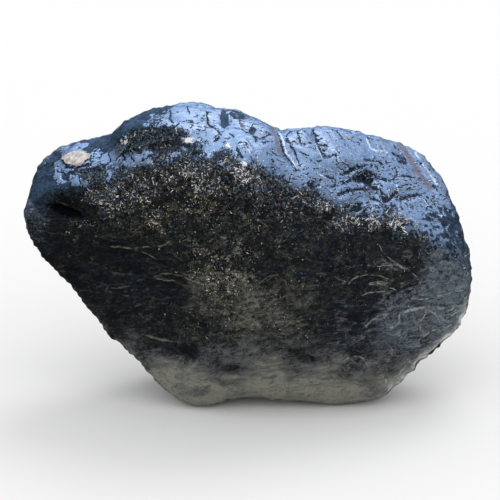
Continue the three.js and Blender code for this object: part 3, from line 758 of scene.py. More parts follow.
def grain_fields(stone, grit, top):
    """How thickly the loose grains and crumbs lie, and where they are paler: pale grains, and painted glints
    on them.
    """
    clear_of_floor = (1 - stone.on_flat) * smooth(0.5, 1.6, stone.lift)
    flat_on = smooth(0.15, 0.5, np.abs(stone.outward))
    bare = smooth(0.1, -0.3, np.maximum(top["spots"], top["quartz"]))
    over_ridge = stone.front * smooth(2.4, 0.2, stone.above) * smooth(-0.5, 0.3, stone.above)
    over_ridge = over_ridge * smooth(-9, -4, stone.right) * smooth(26, 22, stone.right)
    below_ridge = stone.granular * smooth(-0.5, 0.35, stone.clumps)
    dense = np.maximum(below_ridge, 0.6 * over_ridge * smooth(0.0, 0.4, stone.clumps)) * flat_on
    in_pits = 0.06 * smooth(0.0, 0.3, top["pits"])
    above_bottom = 1 - smooth(-10, -14, stone.points[:, 1])
    crumbs = (1 - stone.granular) * stone.rough * grit**1.5 * clear_of_floor * flat_on * above_bottom
    chains = 0.10 * np.exp(-((crossing(stone.points, "chains") / 0.12) ** 2))
    crowds = stone.patches(PALE_GRAINS_AND_PAINTED_GLINTS) * stone.front * (1 + stone.noise("pale crowds"))
    return {
        "grains": np.clip(np.maximum(dense, in_pits) * clear_of_floor * bare, 0, 1),
        "crumbs": np.clip(crumbs, 0, 1),
        "pale": crowds + chains + stone.noise("pale") - 0.05,
    }


def all_fields(stone):
    """Every number that is stored on the stone's points."""
    grit = stone.patches(GRIT) * (1 + stone.noise("grit"))
    on_back = np.maximum(stone.granular, 0.4 + stone.noise("back grit"))
    grit = stone.front * np.maximum(grit, stone.granular) + stone.back * on_back
    top = top_fields(stone)
    fields = top | front_fields(stone, grit) | line_fields(stone) | grain_fields(stone, grit, top)
    return {name: np.clip(field, -FIELD_LIMIT, FIELD_LIMIT) for name, field in fields.items()}


# ---- nodes ----


class Signal:
    """A node's output. Arithmetic on it adds Math nodes to its tree."""

    def __init__(self, tree, socket):
        self.tree = tree
        self.socket = socket

    def __add__(self, other):
        return self.tree.math("ADD", self, other)

    __radd__ = __add__

    def __sub__(self, other):
        return self.tree.math("SUBTRACT", self, other)

    def __rsub__(self, other):
        return self.tree.math("SUBTRACT", other, self)

    def __mul__(self, other):
        return self.tree.math("MULTIPLY", self, other)

    __rmul__ = __mul__

    def __truediv__(self, other):
        return self.tree.math("DIVIDE", self, other)

    def __abs__(self):
        return self.tree.math("ABSOLUTE", self)

    def between(self, low, high):
        """0 at low and beyond it, 1 at high and beyond it, and smooth between. Low may be above high."""
        start, end, first, last = (low, high, 0, 1) if low < high else (high, low, 1, 0)
        return self.tree.node(
            "ShaderNodeMapRange",
            {"interpolation_type": "SMOOTHSTEP"},
            {"Value": self, "From Min": start, "From Max": end, "To Min": first, "To Max": last},
        )

    def most(self, other):
        return self.tree.math("MAXIMUM", self, other)

    def least(self, other):
        return self.tree.math("MINIMUM", self, other)


class Tree:
    """A node tree, filled by expressions."""

    def __init__(self, nodes):
        self.nodes = nodes

    def node(self, kind, settings=None, inputs=None, output=0):
        made = self.nodes.nodes.new(kind)
        for name, value in (settings or {}).items():
            setattr(made, name, value)
        for name, value in (inputs or {}).items():
            if isinstance(value, Signal):
                self.nodes.links.new(value.socket, made.inputs[name])
            else:
                made.inputs[name].default_value = value
        return Signal(self, made.outputs[output]) if made.outputs else made

    def math(self, operation, *values):
        return self.node("ShaderNodeMath", {"operation": operation}, dict(enumerate(values)))

    def mix(self, share, first, second):
        """A colour between two colours."""
        first, second = (c if isinstance(c, Signal) else (*c, 1) for c in (first, second))
        return self.node("ShaderNodeMix", {"data_type": "RGBA"}, {0: share, 6: first, 7: second}, 2)

    def ramp(self, tones, value):
        """The colour that a list of places and colours gives for a value."""
        made = self.node("ShaderNodeValToRGB", inputs={"Fac": value}, output="Color")
        ramp = made.socket.node.color_ramp
        while len(ramp.elements) < len(tones):
            ramp.elements.new(0.5)
        for element, (place, colour) in zip(ramp.elements, tones):
            element.position = place
            element.color = (*colour, 1)
        return made

    def principled(self, inputs):
        return self.node("ShaderNodeBsdfPrincipled", inputs=inputs, output="BSDF")

    def field(self, name):
        return self.node("ShaderNodeAttribute", {"attribute_name": name}, output="Fac")

    def place(self, stretch=(1, 1, 1), turn=0.0, shift=(0, 0, 0)):
        """Millimetres in the stone's own axes, with what is drawn on them stretched, turned and shifted."""
        here = self.node("ShaderNodeTexCoord", output="Object")
        lean = (LEAN - math.pi / 2, 0, 0)
        upright = self.node("ShaderNodeMapping", inputs={"Vector": here, "Rotation": lean})
        scale = tuple(MM * share for share in stretch)
        moved = tuple(MM * share for share in shift)
        return self.node(
            "ShaderNodeMapping",
            {"vector_type": "TEXTURE"},
            {"Vector": upright, "Rotation": (0, 0, turn), "Scale": scale, "Location": moved},
        )

    def speckle(self, place, spacing, detail=2.0, roughness=0.5, distortion=0.0):
        """Noise around 0, up to about 0.3 either way."""
        shape = {"Scale": 1 / spacing, "Detail": detail, "Roughness": roughness, "Distortion": distortion}
        return self.node("ShaderNodeTexNoise", inputs={"Vector": place, **shape}) - 0.5

    def streaks(self, stretch, turn, *grain):
        """Speckle that is stretched along a direction and across it."""
        return self.speckle(self.place((*stretch, 1), turn), *grain)

    def line(self, name, waviness, inner, outer, ragged=0.0):
        """1 on the nearest of a family of lines, 0 beside it, from the two fields that say where it is."""
        side = abs(self.field(name + "_side") + waviness)
        if ragged:
            side = side + ragged * self.speckle(self.place(), 0.35, 2)
        return side.between(outer, inner) * self.field(name + "_away").between(outer + 1.6, outer + 0.6)

    def bump(self, height, distance):
        return self.node("ShaderNodeBump", inputs={"Height": height, "Distance": distance * MM})


def new_material(name):
    material = bpy.data.materials.new(name)
    material.use_nodes = True
    material.node_tree.nodes.clear()
    return material, Tree(material.node_tree)


def finish_surface(tree, shader):
    tree.node("ShaderNodeOutputMaterial", inputs={"Surface": shader})


# ---- materials ----

BLACK = (0.0034, 0.0040, 0.0044)
# painted shade in the hollow under the knob
PAINTED_HOLLOW_SHADE = (0.0015, 0.0018, 0.0022)
BROWNISH = (0.010, 0.0098, 0.0078)
TEAL_GREY = (0.015, 0.021, 0.025)
OLIVE = (0.160, 0.160, 0.130)
SLATE = (0.110, 0.136, 0.162)
DARK_TAN = (0.10, 0.096, 0.070)
TAN = (0.24, 0.225, 0.170)
# tiny yellowish crystals, partly painted sparkle
LACE_AND_PAINTED_SPARKLE = (0.42, 0.41, 0.29)
# painted highlight on the upper edges of folds, layers and ledges at the right
PAINTED_FOLD_HIGHLIGHT = (0.44, 0.45, 0.42)
# painted highlight on the broken lower right edge, as if lit from behind
GREY_PAINTED_RIM_HIGHLIGHT = (0.34, 0.36, 0.37)
PALE_PAINTED_RIM_HIGHLIGHT = (0.78, 0.78, 0.72)
WHITE = (0.93, 0.94, 0.93)
SPOT_SHADE = (0.55, 0.52, 0.49)
QUARTZ_LIGHT = (0.84, 0.82, 0.80)
PINKISH = (0.56, 0.45, 0.42)
# the black stone of the worn top, with a painted blue sky sheen in its colour
WORN_TOP_PAINTED_SKY_SHEEN = (0.036, 0.048, 0.070)
PALER_WORN_TOP_PAINTED_SKY_SHEEN = (0.046, 0.060, 0.084)
PIT = (0.004, 0.004, 0.005)
# dark stone with a painted teal sheen, for the top's dull patches
DULL_TOP_PAINTED_SHEEN = (0.008, 0.016, 0.022)
PALER_DULL_TOP_PAINTED_SHEEN = (0.040, 0.060, 0.082)
BROWN = (0.165, 0.148, 0.175)
LIGHT_BROWN = (0.20, 0.19, 0.235)
# painted highlight on the worn top's edges, flecks and lines
PAINTED_HIGHLIGHT = (0.52, 0.57, 0.64)
# painted reflection of the pale ground, lighter towards the bottom of the front
PAINTED_GROUND_REFLECTION_TONES = [
    (0.3, (0.046, 0.050, 0.054)), (0.5, (0.080, 0.084, 0.087)), (0.68, (0.102, 0.106, 0.103)),
    (0.86, (0.152, 0.153, 0.137)), (1.0, (0.23, 0.23, 0.195)),
]
# black crystals, and pale to white tones that are partly pale grains and partly painted glints
GRAIN_AND_PAINTED_GLINT_TONES = [
    (0.0, BLACK), (0.66, BROWNISH), (0.74, (0.045, 0.040, 0.032)), (0.81, (0.26, 0.24, 0.18)),
    (0.86, (0.62, 0.58, 0.46)), (0.92, (0.90, 0.87, 0.82)), (0.97, (0.95, 0.94, 0.95)),
]
WORN_IOR = 1.62
PORE_SHEEN = {"IOR": 1.5, "Specular IOR Level": 0.07}       # pores swallow most of what the surface mirrors
GRAIN_SHEEN = {"Roughness": 0.3, "IOR": 1.55, "Specular IOR Level": 0.5}
BUMP_HEIGHT = 0.16


def pits_of_top(tree, plain):
    """Where pits and cracks are on the worn top, and the painted highlights along the pits' edges."""
    pitted = tree.field("pitted")
    limit = 0.232 - 0.13 * pitted - 0.36 * tree.speckle(plain, 2.2, 2)

    def random_pits(shift):
        streaks = tree.speckle(tree.place((2.2, 0.6, 1), 0.35, shift), 0.62, 3, 0.6, 0.5)
        return (streaks - limit).between(0, 0.014)

    pits = random_pits((0, 0, 0))
    # the pits shifted a little: a painted highlight along their edges
    painted_highlights = (random_pits((-0.13, -0.12, 0)) - pits).most(0)
    dots = (tree.streaks((1.3, 0.8), -0.6, 0.4, 1) - (0.235 - 0.05 * pitted)).between(0, 0.03)
    hollows = (tree.field("pits") + 3.2 * tree.streaks((2.0, 0.6), 0.35, 0.7, 4, 0.65)).between(0.1, 0.2)
    cracks = tree.line("crack", 2.2 * tree.speckle(plain, 0.5, 3, 0.6), 0.8, 1.1, 6.5)
    return pits.most(dots).most(hollows).most(cracks), painted_highlights


def creases_of_top(tree, plain):
    """The painted shade on one side of the fine creases in the worn top, and the painted highlight on the
    other.
    """
    crease = tree.field("creases") + 0.9 * tree.speckle(plain, 0.6, 3, 0.6)
    shown = tree.speckle(plain, 1.3, 3, 0.6).between(0.02, 0.07)
    dark = crease.between(0.0, 0.05) * crease.between(0.24, 0.16) * shown
    light = crease.between(-0.20, -0.13) * crease.between(0.0, -0.05) * shown
    return dark, light


class StoneLook:
    """The stone's colour, laid on layer by layer, and the signals that more than one layer reads."""

    def __init__(self, tree):
        self.tree = tree
        self.plain = tree.place()
        self.front = tree.field("front")
        self.grit = tree.field("grit")
        self.flow = tree.field("flow")
        self.find_worn_top()
        self.fibres = tree.place((2.6, 0.8, 1), 0.12)
        self.uneven = self.speckle(0.7, 4, 0.62)
        self.fine = tree.streaks((1.4, 0.8), 0.5, 0.36, 3, 0.7)
        self.cloud = self.speckle(3.2, 6, 0.66, 0.4)
        woven = tree.speckle(self.fibres, 1.0, 6, 0.72, 0.8)
        self.haze = (tree.field("haze") + 1.1 * self.cloud + 1.7 * woven).between(0.12, 1.05)
        layers = tree.streaks((3.0, 0.9), 0.2, 0.9, 6, 0.72, 1.2)
        self.blue = (tree.field("blue") + 3.2 * layers).between(0.22, 1.15)
        self.low = tree.field("low") + 0.95 * self.cloud + 1.1 * woven
        self.clear = 1 - 0.8 * self.low.between(0.5, 0.8)
        self.colour = tree.mix(self.cloud.between(-0.12, 0.18), BLACK, BROWNISH)

    def speckle(self, *grain):
        return self.tree.speckle(self.plain, *grain)

    def lay(self, share, colour):
        self.colour = self.tree.mix(share, self.colour, colour)

    def find_worn_top(self):
        """Where the top is, its pits and the painted shade of its creases, the painted highlights on the edges
        of pits and creases, where it is dull, and where it shines.
        """
        tree = self.tree
        fingers = tree.streaks((0.45, 1.6), 0.2, 0.8, 2, 0.55)
        reach = tree.field("above_ridge") + 4.4 * fingers + 1.4 * self.speckle(0.45, 1)
        self.top = reach.between(-0.07, 0.07)
        pits, painted_highlights = pits_of_top(tree, self.plain)
        dark, light = creases_of_top(tree, self.plain)
        # the creases' painted shade is laid with the pits, and their painted highlight with the pits' edges
        self.pits = pits.most(dark)
        self.painted_highlights = painted_highlights.most(light)
        patches = 1.5 * self.speckle(0.9, 3, 0.55, 0.4)
        self.dull = (tree.field("dull") + patches).between(0.45, 0.52)
        self.shine = self.top * (1 - self.pits) * (1 - self.dull)

    def dark_front(self):
        """Teal grey on the black, olive haze and blue-grey layers, and a painted reflection of the pale
        ground, lighter towards the bottom.
        """
        tree = self.tree
        self.lay(tree.speckle(self.fibres, 1.6, 6, 0.7, 0.6).between(-0.02, 0.25) * 0.8, TEAL_GREY)
        self.lay(self.haze, OLIVE)
        self.lay(self.blue, SLATE)
        # painted reflection of the pale ground, lighter towards the bottom
        self.lay(self.low.between(0.15, 0.6), tree.ramp(PAINTED_GROUND_REFLECTION_TONES, self.low))

    def strands(self):
        """Crisp wavy strands, dark and light."""
        strands = self.tree.streaks((1.9, 0.8), 0.35, 1.3, 5, 0.64, 1.2)
        thick = self.speckle(1.7, 3, 0.6)
        dark = (abs(strands) - 0.14 * thick).between(0.036, 0.008)
        light = (abs(strands - 0.085) - 0.10 * thick).between(0.022, 0.004)
        self.lay(dark * 0.7 * self.clear.most(0.5), BLACK)
        self.lay(light * (0.05 + 0.35 * self.haze), TAN)

    def crystals(self):
        """Small pale crystals among black ones, dust, and a lace of tiny yellowish crystals that is partly
        painted sparkle.
        """
        tree = self.tree
        gritty = self.speckle(1.5, 3).between(-0.1, 0.12)
        pale = (self.fine + 0.14 * self.grit * gritty).between(0.10, 0.24) * self.grit
        self.lay(pale * 0.8, tree.mix(gritty, DARK_TAN, TAN))
        holes = (self.speckle(0.6, 4, 0.68) + 0.03 * self.grit).between(0.06, 0.16)
        self.lay(holes * 0.8 * self.clear, BLACK)
        dust = tree.streaks((1.3, 0.8), 0.3, 0.30, 4, 0.75)
        self.lay(dust.between(0.0, 0.2) * 0.75 * self.clear, BLACK)
        self.lay(dust.between(-0.06, -0.19) * (0.09 + 0.5 * self.haze), SLATE)
        # tiny yellowish crystals, partly painted sparkle
        lace_and_sparkle = abs(tree.streaks((1.2, 0.9), 0.4, 0.5, 4, 0.7, 1.0)).between(0.030, 0.006)
        lace_and_sparkle = lace_and_sparkle * self.speckle(0.8, 3, 0.6).between(-0.04, 0.10) * self.grit
        self.lay(lace_and_sparkle * (0.28 + 7.0 * tree.field("pale").most(0)).least(1), LACE_AND_PAINTED_SPARKLE)

    def light_lines(self):
        """Tan fibres and veins, and painted highlights on the flowing fold edges, the layers' edges and the
        ledges. Returns how much they show.
        """
        tree = self.tree
        wisps = tree.field("wisps")
        here = self.speckle(2.0, 3, 0.55)
        fibre = abs(wisps + 1.5 * self.uneven).between(0.12, 0.02) * here.between(0.03, 0.13)
        # painted highlights on the upper edges of the wavy folds
        painted_fold_highlights = abs(wisps + 2.6 * tree.speckle(self.fibres, 0.8, 5, 0.68)).between(0.16, 0.0)
        painted_fold_highlights = painted_fold_highlights * (here + 0.14 * self.blue).between(-0.02, 0.16)
        painted_fold_highlights = painted_fold_highlights * 0.34 * (self.flow + 0.8 * self.low.between(0.4, 0.8)).least(1)
        # painted highlight on the upper edge of each layer, where the surface drops
        edge = tree.math("FRACT", tree.field("bedding") + 0.6 * tree.speckle(self.fibres, 0.9, 4, 0.6))
        edge = edge.between(0.84, 0.94) * edge.between(1.0, 0.96)
        edge = edge * tree.field("layered") * here.between(0.0, 0.12)
        # tan veins, and painted highlights along the ledges' edges
        veins_and_ledge_highlights = tree.line("vein_and_ledge_highlight", 3.4 * self.uneven, 0.1, 1.15)
        veins_and_ledge_highlights = veins_and_ledge_highlights * self.speckle(0.9, 4).between(-0.14, 0.08) * (0.5 + 0.16 * self.flow)
        light = (fibre * 0.16).most(edge * 0.2).most(veins_and_ledge_highlights).most(painted_fold_highlights)
        self.lay(light, tree.mix(self.flow, TAN, PAINTED_FOLD_HIGHLIGHT))
        return light

    def painted_rim_light_and_hollow_shade(self):
        """The broken edge at the lower right, painted light as if lit from behind, and the hollow under the
        knob, painted black as shade.
        """
        tree = self.tree
        # painted highlight on the broken lower right edge
        rim = (tree.field("rim") + 1.1 * tree.speckle(self.fibres, 0.7, 4, 0.6)).between(0.1, 1.3)
        self.lay(rim * 0.9, tree.mix((rim + self.uneven).between(0.4, 1.0), GREY_PAINTED_RIM_HIGHLIGHT, PALE_PAINTED_RIM_HIGHLIGHT))
        # painted shade in the hollow under the knob
        hollow = (tree.field("hollow") + 1.2 * self.uneven).between(-0.25, 0.1)
        self.lay(hollow * 0.95, PAINTED_HOLLOW_SHADE)

    def worn_top(self):
        """Dull patches with a painted teal sheen, the shining top with a painted blue sky sheen, its dark
        pits, and the painted highlights on edges, flecks and lines.
        """
        tree = self.tree
        # painted teal sheen on the dull patches
        painted_dull_sheen = tree.mix(self.speckle(0.6, 5, 0.68).between(-0.06, 0.2), DULL_TOP_PAINTED_SHEEN, PALER_DULL_TOP_PAINTED_SHEEN)
        self.lay(self.dull * self.top, painted_dull_sheen)
        tone = tree.streaks((1, 2.5), 0.2, 1.5, 4, 0.6).between(-0.2, 0.2)
        # painted blue sky sheen on the shining top
        self.lay(self.shine, tree.mix(tone, WORN_TOP_PAINTED_SKY_SHEEN, PALER_WORN_TOP_PAINTED_SKY_SHEEN))
        self.lay(self.pits * self.top, PIT)
        # painted glints, and painted highlights on the crests
        painted_glints = (tree.streaks((1.8, 0.5), 0.6, 0.5, 3, 0.6) - 0.138).between(0, 0.03)
        # painted highlight lines beside cracks, lips and the brown band
        painted_highlight_line = tree.line("painted_highlight_line", 3.4 * self.uneven, 0.5, 1.0, 4.0)
        painted_crest_highlights = (self.painted_highlights * 0.65).most(painted_glints * 0.75) * self.top * (1 - self.dull) * (1 - self.pits)
        self.lay(painted_crest_highlights.most(painted_highlight_line * 0.9), PAINTED_HIGHLIGHT)

    def inclusions(self):
        """The brown bands, the quartz and the white spots. Returns where they lie."""
        tree = self.tree
        band = (tree.field("band") + 2.8 * self.speckle(0.8, 5, 0.68)).between(-0.1, 0.6)
        band = band * self.front
        self.lay(band, tree.mix(self.speckle(0.5, 4).between(-0.2, 0.2), BROWN, LIGHT_BROWN))
        quartz = (tree.field("quartz") + 0.9 * self.speckle(0.8, 3)).between(0.0, 0.10)
        tone = self.speckle(0.8, 4, 0.6).between(-0.12, 0.14)
        self.lay(quartz, tree.mix(tone, QUARTZ_LIGHT, PINKISH))
        spots = (tree.field("spots") + 4.4 * self.speckle(0.5, 3, 0.6)).between(0.1, 0.35)
        self.lay(spots, tree.mix(self.uneven.between(0.06, 0.22), WHITE, SPOT_SHADE))
        return band.most(quartz).most(spots)

    def surface(self, light, covered):
        """Glossy where the top is worn and nothing covers it, porous and dull everywhere else."""
        tree = self.tree
        gloss = self.shine * (1 - covered)
        grain = tree.streaks((2.6, 0.7), 0.1, 0.45, 4, 0.65)
        worn = tree.streaks((1.4, 0.8), 0.25, 0.9, 5, 0.62)
        height = (1 - gloss) * (1.3 * self.fine + 1.5 * grain) + gloss * 0.4 * worn
        height = height + (0.5 * self.painted_highlights - 0.6 * self.pits) * self.top + 0.6 * light
        roughness = 0.46 - 0.20 * gloss + 0.2 * self.speckle(0.9, 3)
        normal = tree.bump(height, BUMP_HEIGHT)
        both = {"Base Color": self.colour, "Roughness": roughness, "Normal": normal}
        shiny = tree.principled({**both, "IOR": WORN_IOR})
        matte = tree.principled({**both, **PORE_SHEEN})
        return tree.node("ShaderNodeMixShader", inputs={0: 1 - gloss, 1: shiny, 2: matte}, output="Shader")


def schorl_material():
    material, tree = new_material("schorl")
    look = StoneLook(tree)
    look.dark_front()
    look.strands()
    look.crystals()
    light = look.light_lines()
    look.painted_rim_light_and_hollow_shade()
    look.worn_top()
    covered = look.inclusions()
    finish_surface(tree, look.surface(light, covered))
    return material


def grain_material():
    material, tree = new_material("schorl_grains")
    colour = tree.ramp(GRAIN_AND_PAINTED_GLINT_TONES, tree.field("tint") * 0.88)
    finish_surface(tree, tree.principled({"Base Color": colour, **GRAIN_SHEEN}))
    return material


# ---- making the pieces ----


def cone(sides, top, bottom, depth):
    """A shape to scatter, in millimetres before it is scaled down."""
    sizes = {"Radius Top": top * MM, "Radius Bottom": bottom * MM, "Depth": depth * MM}
    return "GeometryNodeMeshCone", {"Vertices": sides, **sizes}


CRYSTALS = [cone(3, 0, 0.5, 1.1), cone(4, 0.12, 0.3, 2.1)]
FLAKES = [("GeometryNodeMeshCube", {"Size": (1.2 * MM, 0.45 * MM, 0.3 * MM)})]
CRYSTAL_LEAN = (0.75, 1.45)         # least and most lean from the surface's normal, in radians
FLAKE_LEAN = (0.0, 0.5)

# How many lie on a square millimetre at most, the least and most that scales them down, and the least tint.
GRAIN_AMOUNTS = {"Per mm2": 125.0, "Smallest": 0.09, "Largest": 0.25, "Seed": 4, "Darkest": 0.0}
CRUMB_AMOUNTS = {"Per mm2": 12.0, "Smallest": 0.07, "Largest": 0.18, "Seed": 8, "Darkest": 0.5}
AMOUNT_KINDS = {label: "Int" if label == "Seed" else "Float" for label in GRAIN_AMOUNTS}


def new_object(name, mesh, material):
    made = bpy.data.objects.new(name, mesh)
    bpy.context.scene.collection.objects.link(made)
    mesh.materials.clear()
    mesh.materials.append(material)
    return made


def stone_mesh():
    """The visible stone, with the numbers that the materials read on its points."""
    directions, triangles = fine_sphere(SPHERE_STEPS)
    directions = directions * SPREAD + np.array([0, 0, FRONT_SHIFT])
    directions /= np.linalg.norm(directions, axis=1)[:, None]
    points = cast_on_solid(bpy.data.objects["schorl"], directions)
    stone = Surface(smoothed(points, triangles, FACET_SMOOTHING), triangles)
    points = (stone.points + stone.normals * relief(stone)[:, None]) @ own_axes() + np.array(MIDDLE)
    points[:, 2] = np.maximum(points[:, 2], 0)
    mesh = bpy.data.meshes.new("schorl_stone")
    mesh.from_pydata(points * MM, [], triangles.tolist())
    mesh.polygons.foreach_set("use_smooth", np.ones(len(triangles), bool))
    for name, field in all_fields(stone).items():
        mesh.attributes.new(name, "FLOAT", "POINT").data.foreach_set("value", field.astype(np.float32))
    mesh.update()
    return mesh


def random_number(tree, kind, low, high, seed):
    """A GN random value between two numbers or two vectors."""
    made = tree.nodes.nodes.new("FunctionNodeRandomValue")
    made.data_type = kind
    ends = [socket for socket in made.inputs if socket.enabled and socket.name in ("Min", "Max")]
    ends[0].default_value, ends[1].default_value = low, high
    made.inputs["Seed"].default_value = seed
    return Signal(tree, next(socket for socket in made.outputs if socket.enabled))


def stored(tree, name):
    """A number that the surface's points carry."""
    return tree.node("GeometryNodeInputNamedAttribute", {"data_type": "FLOAT"}, {"Name": name}, "Attribute")


def empty_scatter_tree(name):
    """A Geometry Nodes tree with named inputs, and those inputs as signals."""
    nodes = bpy.data.node_groups.new(name, "GeometryNodeTree")
    nodes.interface.new_socket("Geometry", in_out="INPUT", socket_type="NodeSocketGeometry")
    for label, kind in AMOUNT_KINDS.items():
        nodes.interface.new_socket(label, in_out="INPUT", socket_type="NodeSocket" + kind)
    nodes.interface.new_socket("Geometry", in_out="OUTPUT", socket_type="NodeSocketGeometry")
    tree = Tree(nodes)
    given = {socket.name: Signal(tree, socket) for socket in nodes.nodes.new("NodeGroupInput").outputs}
    return tree, given


def leaning(tree, upright, least, most):
    """Turned every way round the surface's normal, and leaning from it by an angle between the given two."""
    lean = random_number(tree, "FLOAT_VECTOR", (least, -0.4, -math.pi), (most, 0.4, math.pi), 5)
    turned = tree.node("FunctionNodeEulerToRotation", inputs={"Euler": lean})
    return tree.node(
        "FunctionNodeRotateRotation", {"rotation_space": "LOCAL"}, {"Rotation": upright, "Rotate By": turned}
    )


def random_scale(tree, given, pale):
    """Mostly small, larger where the grains are pale, and of uneven proportions."""
    size = random_number(tree, "FLOAT", 0.0, 1.0, 7)
    size = given["Smallest"] + (given["Largest"] - given["Smallest"]) * (size * size + 0.7 * pale.most(0))
    uneven = random_number(tree, "FLOAT_VECTOR", (0.7, 0.7, 0.6), (1.2, 1.2, 1.5), 9)
    return tree.node("ShaderNodeVectorMath", {"operation": "SCALE"}, {0: uneven, "Scale": size})


def scatter_tree(density_field, material, shapes, lean):
    """A Geometry Nodes tree that scatters small shapes over a surface, thickest where the field is 1."""
    tree, given = empty_scatter_tree("scattered_" + density_field)
    density = stored(tree, density_field) * given["Per mm2"] / MM**2
    # pale grains and painted glints: larger and lighter grains
    pale = stored(tree, "pale")
    points = tree.node(
        "GeometryNodeDistributePointsOnFaces",
        inputs={"Mesh": given["Geometry"], "Density": density, "Seed": given["Seed"]},
        output="Points",
    )
    upright = Signal(tree, points.socket.node.outputs["Rotation"])
    tint = given["Darkest"] + (1 - given["Darkest"]) * random_number(tree, "FLOAT", 0.0, 1.0, 3)
    tinted = tree.node(
        "GeometryNodeStoreNamedAttribute",
        {"data_type": "FLOAT", "domain": "POINT"},
        {"Geometry": points, "Name": "tint", "Value": tint + pale},
    )
    choice = tree.nodes.nodes.new("GeometryNodeGeometryToInstance")
    for kind, sizes in shapes:
        tree.nodes.links.new(tree.node(kind, inputs=sizes, output="Mesh").socket, choice.inputs[0])
    chosen = {"Instance": Signal(tree, choice.outputs[0]), "Pick Instance": True}
    turned = {"Rotation": leaning(tree, upright, *lean), "Scale": random_scale(tree, given, pale)}
    placed = tree.node("GeometryNodeInstanceOnPoints", inputs={"Points": tinted, **chosen, **turned})
    real = tree.node("GeometryNodeRealizeInstances", inputs={"Geometry": placed})
    flat = tree.node("GeometryNodeSetShadeSmooth", inputs={"Geometry": real, "Shade Smooth": False})
    done = tree.node("GeometryNodeSetMaterial", inputs={"Geometry": flat, "Material": material})
    tree.node("NodeGroupOutput", inputs={"Geometry": done})
    return tree.nodes


def scatter(name, surface, tree, material, amounts):
    """A plain mesh of what the tree scatters over the surface."""
    made = new_object(name, surface.copy(), material)
    modifier = made.modifiers.new("scatter", "NODES")
    modifier.node_group = tree
    identifiers = {item.name: item.identifier for item in tree.interface.items_tree if item.in_out == "INPUT"}
    for label, value in amounts.items():
        modifier[identifiers[label]] = value
    evaluated = made.evaluated_get(bpy.context.evaluated_depsgraph_get())
    mesh = bpy.data.meshes.new_from_object(evaluated)
    made.modifiers.clear()
    made.data = mesh
    mesh.materials.clear()
    mesh.materials.append(material)
    return made


# ---- camera, floor and lights ----

FLOOR_HALF = 2000
FLOOR_GREY = (0.85, 0.85, 0.85)
FLOOR_ROUGHNESS = 0.9
FLAG_RADII = (34, 1600)
FLAG_LIFT = 0.8
FLAG_SIDES = 64
FLAG_GREY = (0.02, 0.02, 0.022)
SUN = {"strength": 0.7, "angle": 30, "turn": (-35, 15, 0)}      # the angle across it and its turn, in degrees
MIRRORED_SKY = [
    (0.20, (0.008, 0.010, 0.013)), (0.38, (0.095, 0.15, 0.265)), (0.5, (0.115, 0.18, 0.315)),
    (0.95, (0.39, 0.61, 1.0)),
]
MIRRORED_STRENGTH = 9.0


def add_camera():
    data = bpy.data.cameras.new("camera")
    data.sensor_width = SENSOR
    data.lens = SENSOR * VIEW_DISTANCE / VIEW_WIDTH
    camera = bpy.data.objects.new("camera", data)
    bpy.context.scene.collection.objects.link(camera)
    target = MIDDLE + Vector((VIEW_CENTRE[0], 0, 0)) + VIEW_CENTRE[1] * UP_FACE
    away = Matrix.Translation((target + VIEW_DISTANCE * OUT_OF_FACE) * MM)
    camera.matrix_world = away @ OUT_OF_FACE.to_track_quat("Z", "Y").to_matrix().to_4x4()
    bpy.context.scene.camera = camera


def flat_piece(name, corners, faces, colour, roughness):
    material, tree = new_material(name)
    look = {"Base Color": (*colour, 1), "Roughness": roughness, "Specular IOR Level": 0.0}
    finish_surface(tree, tree.principled(look))
    mesh = bpy.data.meshes.new(name)
    mesh.from_pydata([Vector(corner) * MM for corner in corners], [], faces)
    made = new_object(name, mesh, material)
    return made


def add_floor():
    half = FLOOR_HALF
    corners = [(-half, -half, 0), (half, -half, 0), (half, half, 0), (-half, half, 0)]
    flat_piece("floor", corners, [(0, 1, 2, 3)], FLOOR_GREY, FLOOR_ROUGHNESS)


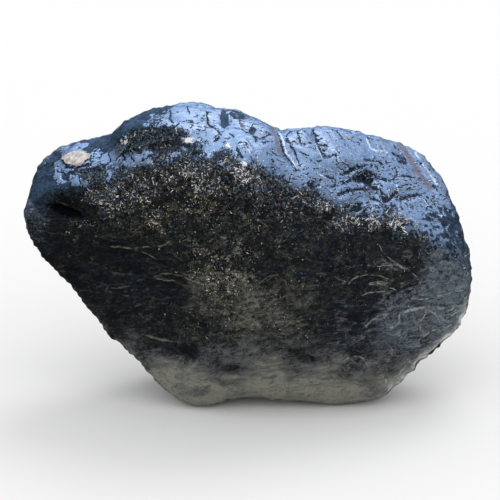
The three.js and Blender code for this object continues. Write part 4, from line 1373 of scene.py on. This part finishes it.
def add_flag():
    """A dark ring that only reflections see: it keeps the floor's white out of the stone's gloss."""
    turns = [2 * math.pi * i / FLAG_SIDES for i in range(FLAG_SIDES)]
    ring = [(r * math.cos(turn), r * math.sin(turn), FLAG_LIFT) for r in FLAG_RADII for turn in turns]
    following = [(i, (i + 1) % FLAG_SIDES) for i in range(FLAG_SIDES)]
    faces = [(i, after, FLAG_SIDES + after, FLAG_SIDES + i) for i, after in following]
    flag = flat_piece("flag", ring, faces, FLAG_GREY, 1.0)
    flag.visible_camera = False
    flag.visible_diffuse = False
    flag.visible_shadow = False
    flag.visible_transmission = False


def add_sun(name, strength, angle, turn):
    light = bpy.data.lights.new(name, "SUN")
    light.energy = strength
    light.angle = math.radians(angle)
    sun = bpy.data.objects.new(name, light)
    sun.rotation_euler = [math.radians(degrees) for degrees in turn]
    bpy.context.scene.collection.objects.link(sun)


def add_sky():
    """White light all round, and a blue sky over a dark ground in the stone's reflections."""
    world = bpy.data.worlds.new("sky")
    bpy.context.scene.world = world
    world.use_nodes = True
    world.node_tree.nodes.clear()
    tree = Tree(world.node_tree)
    way = tree.node("ShaderNodeTexCoord", output="Generated")
    parts = tree.node("ShaderNodeSeparateXYZ", inputs={"Vector": way}, output="Z").socket.node
    up, back = Signal(tree, parts.outputs["Z"]), Signal(tree, parts.outputs["Y"])
    sky = tree.ramp(MIRRORED_SKY, (up - 0.12).most(up + 0.2 * back))
    reflected = tree.node("ShaderNodeBackground", inputs={"Color": sky, "Strength": MIRRORED_STRENGTH})
    white = tree.node("ShaderNodeBackground", inputs={"Color": (1, 1, 1, 1), "Strength": 1.0})
    glossy = tree.node("ShaderNodeLightPath", output="Is Glossy Ray")
    both = tree.node("ShaderNodeMixShader", inputs={0: glossy, 1: white, 2: reflected}, output="Shader")
    tree.node("ShaderNodeOutputWorld", inputs={"Surface": both})


# ---- the scene ----

add_camera()
add_floor()
add_flag()
add_sun("soft sun", **SUN)
add_sky()
bpy.context.scene.view_settings.view_transform = "Standard"

stone = new_object("schorl_stone", stone_mesh(), schorl_material())
grain_finish = grain_material()
grain_tree = scatter_tree("grains", grain_finish, CRYSTALS, CRYSTAL_LEAN)
grains = scatter("schorl_grains", stone.data, grain_tree, grain_finish, GRAIN_AMOUNTS)
crumb_tree = scatter_tree("crumbs", grain_finish, FLAKES, FLAKE_LEAN)
crumbs = scatter("schorl_crumbs", stone.data, crumb_tree, grain_finish, CRUMB_AMOUNTS)

for piece in (stone, grains, crumbs):
    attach(piece, "root")
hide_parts("schorl")
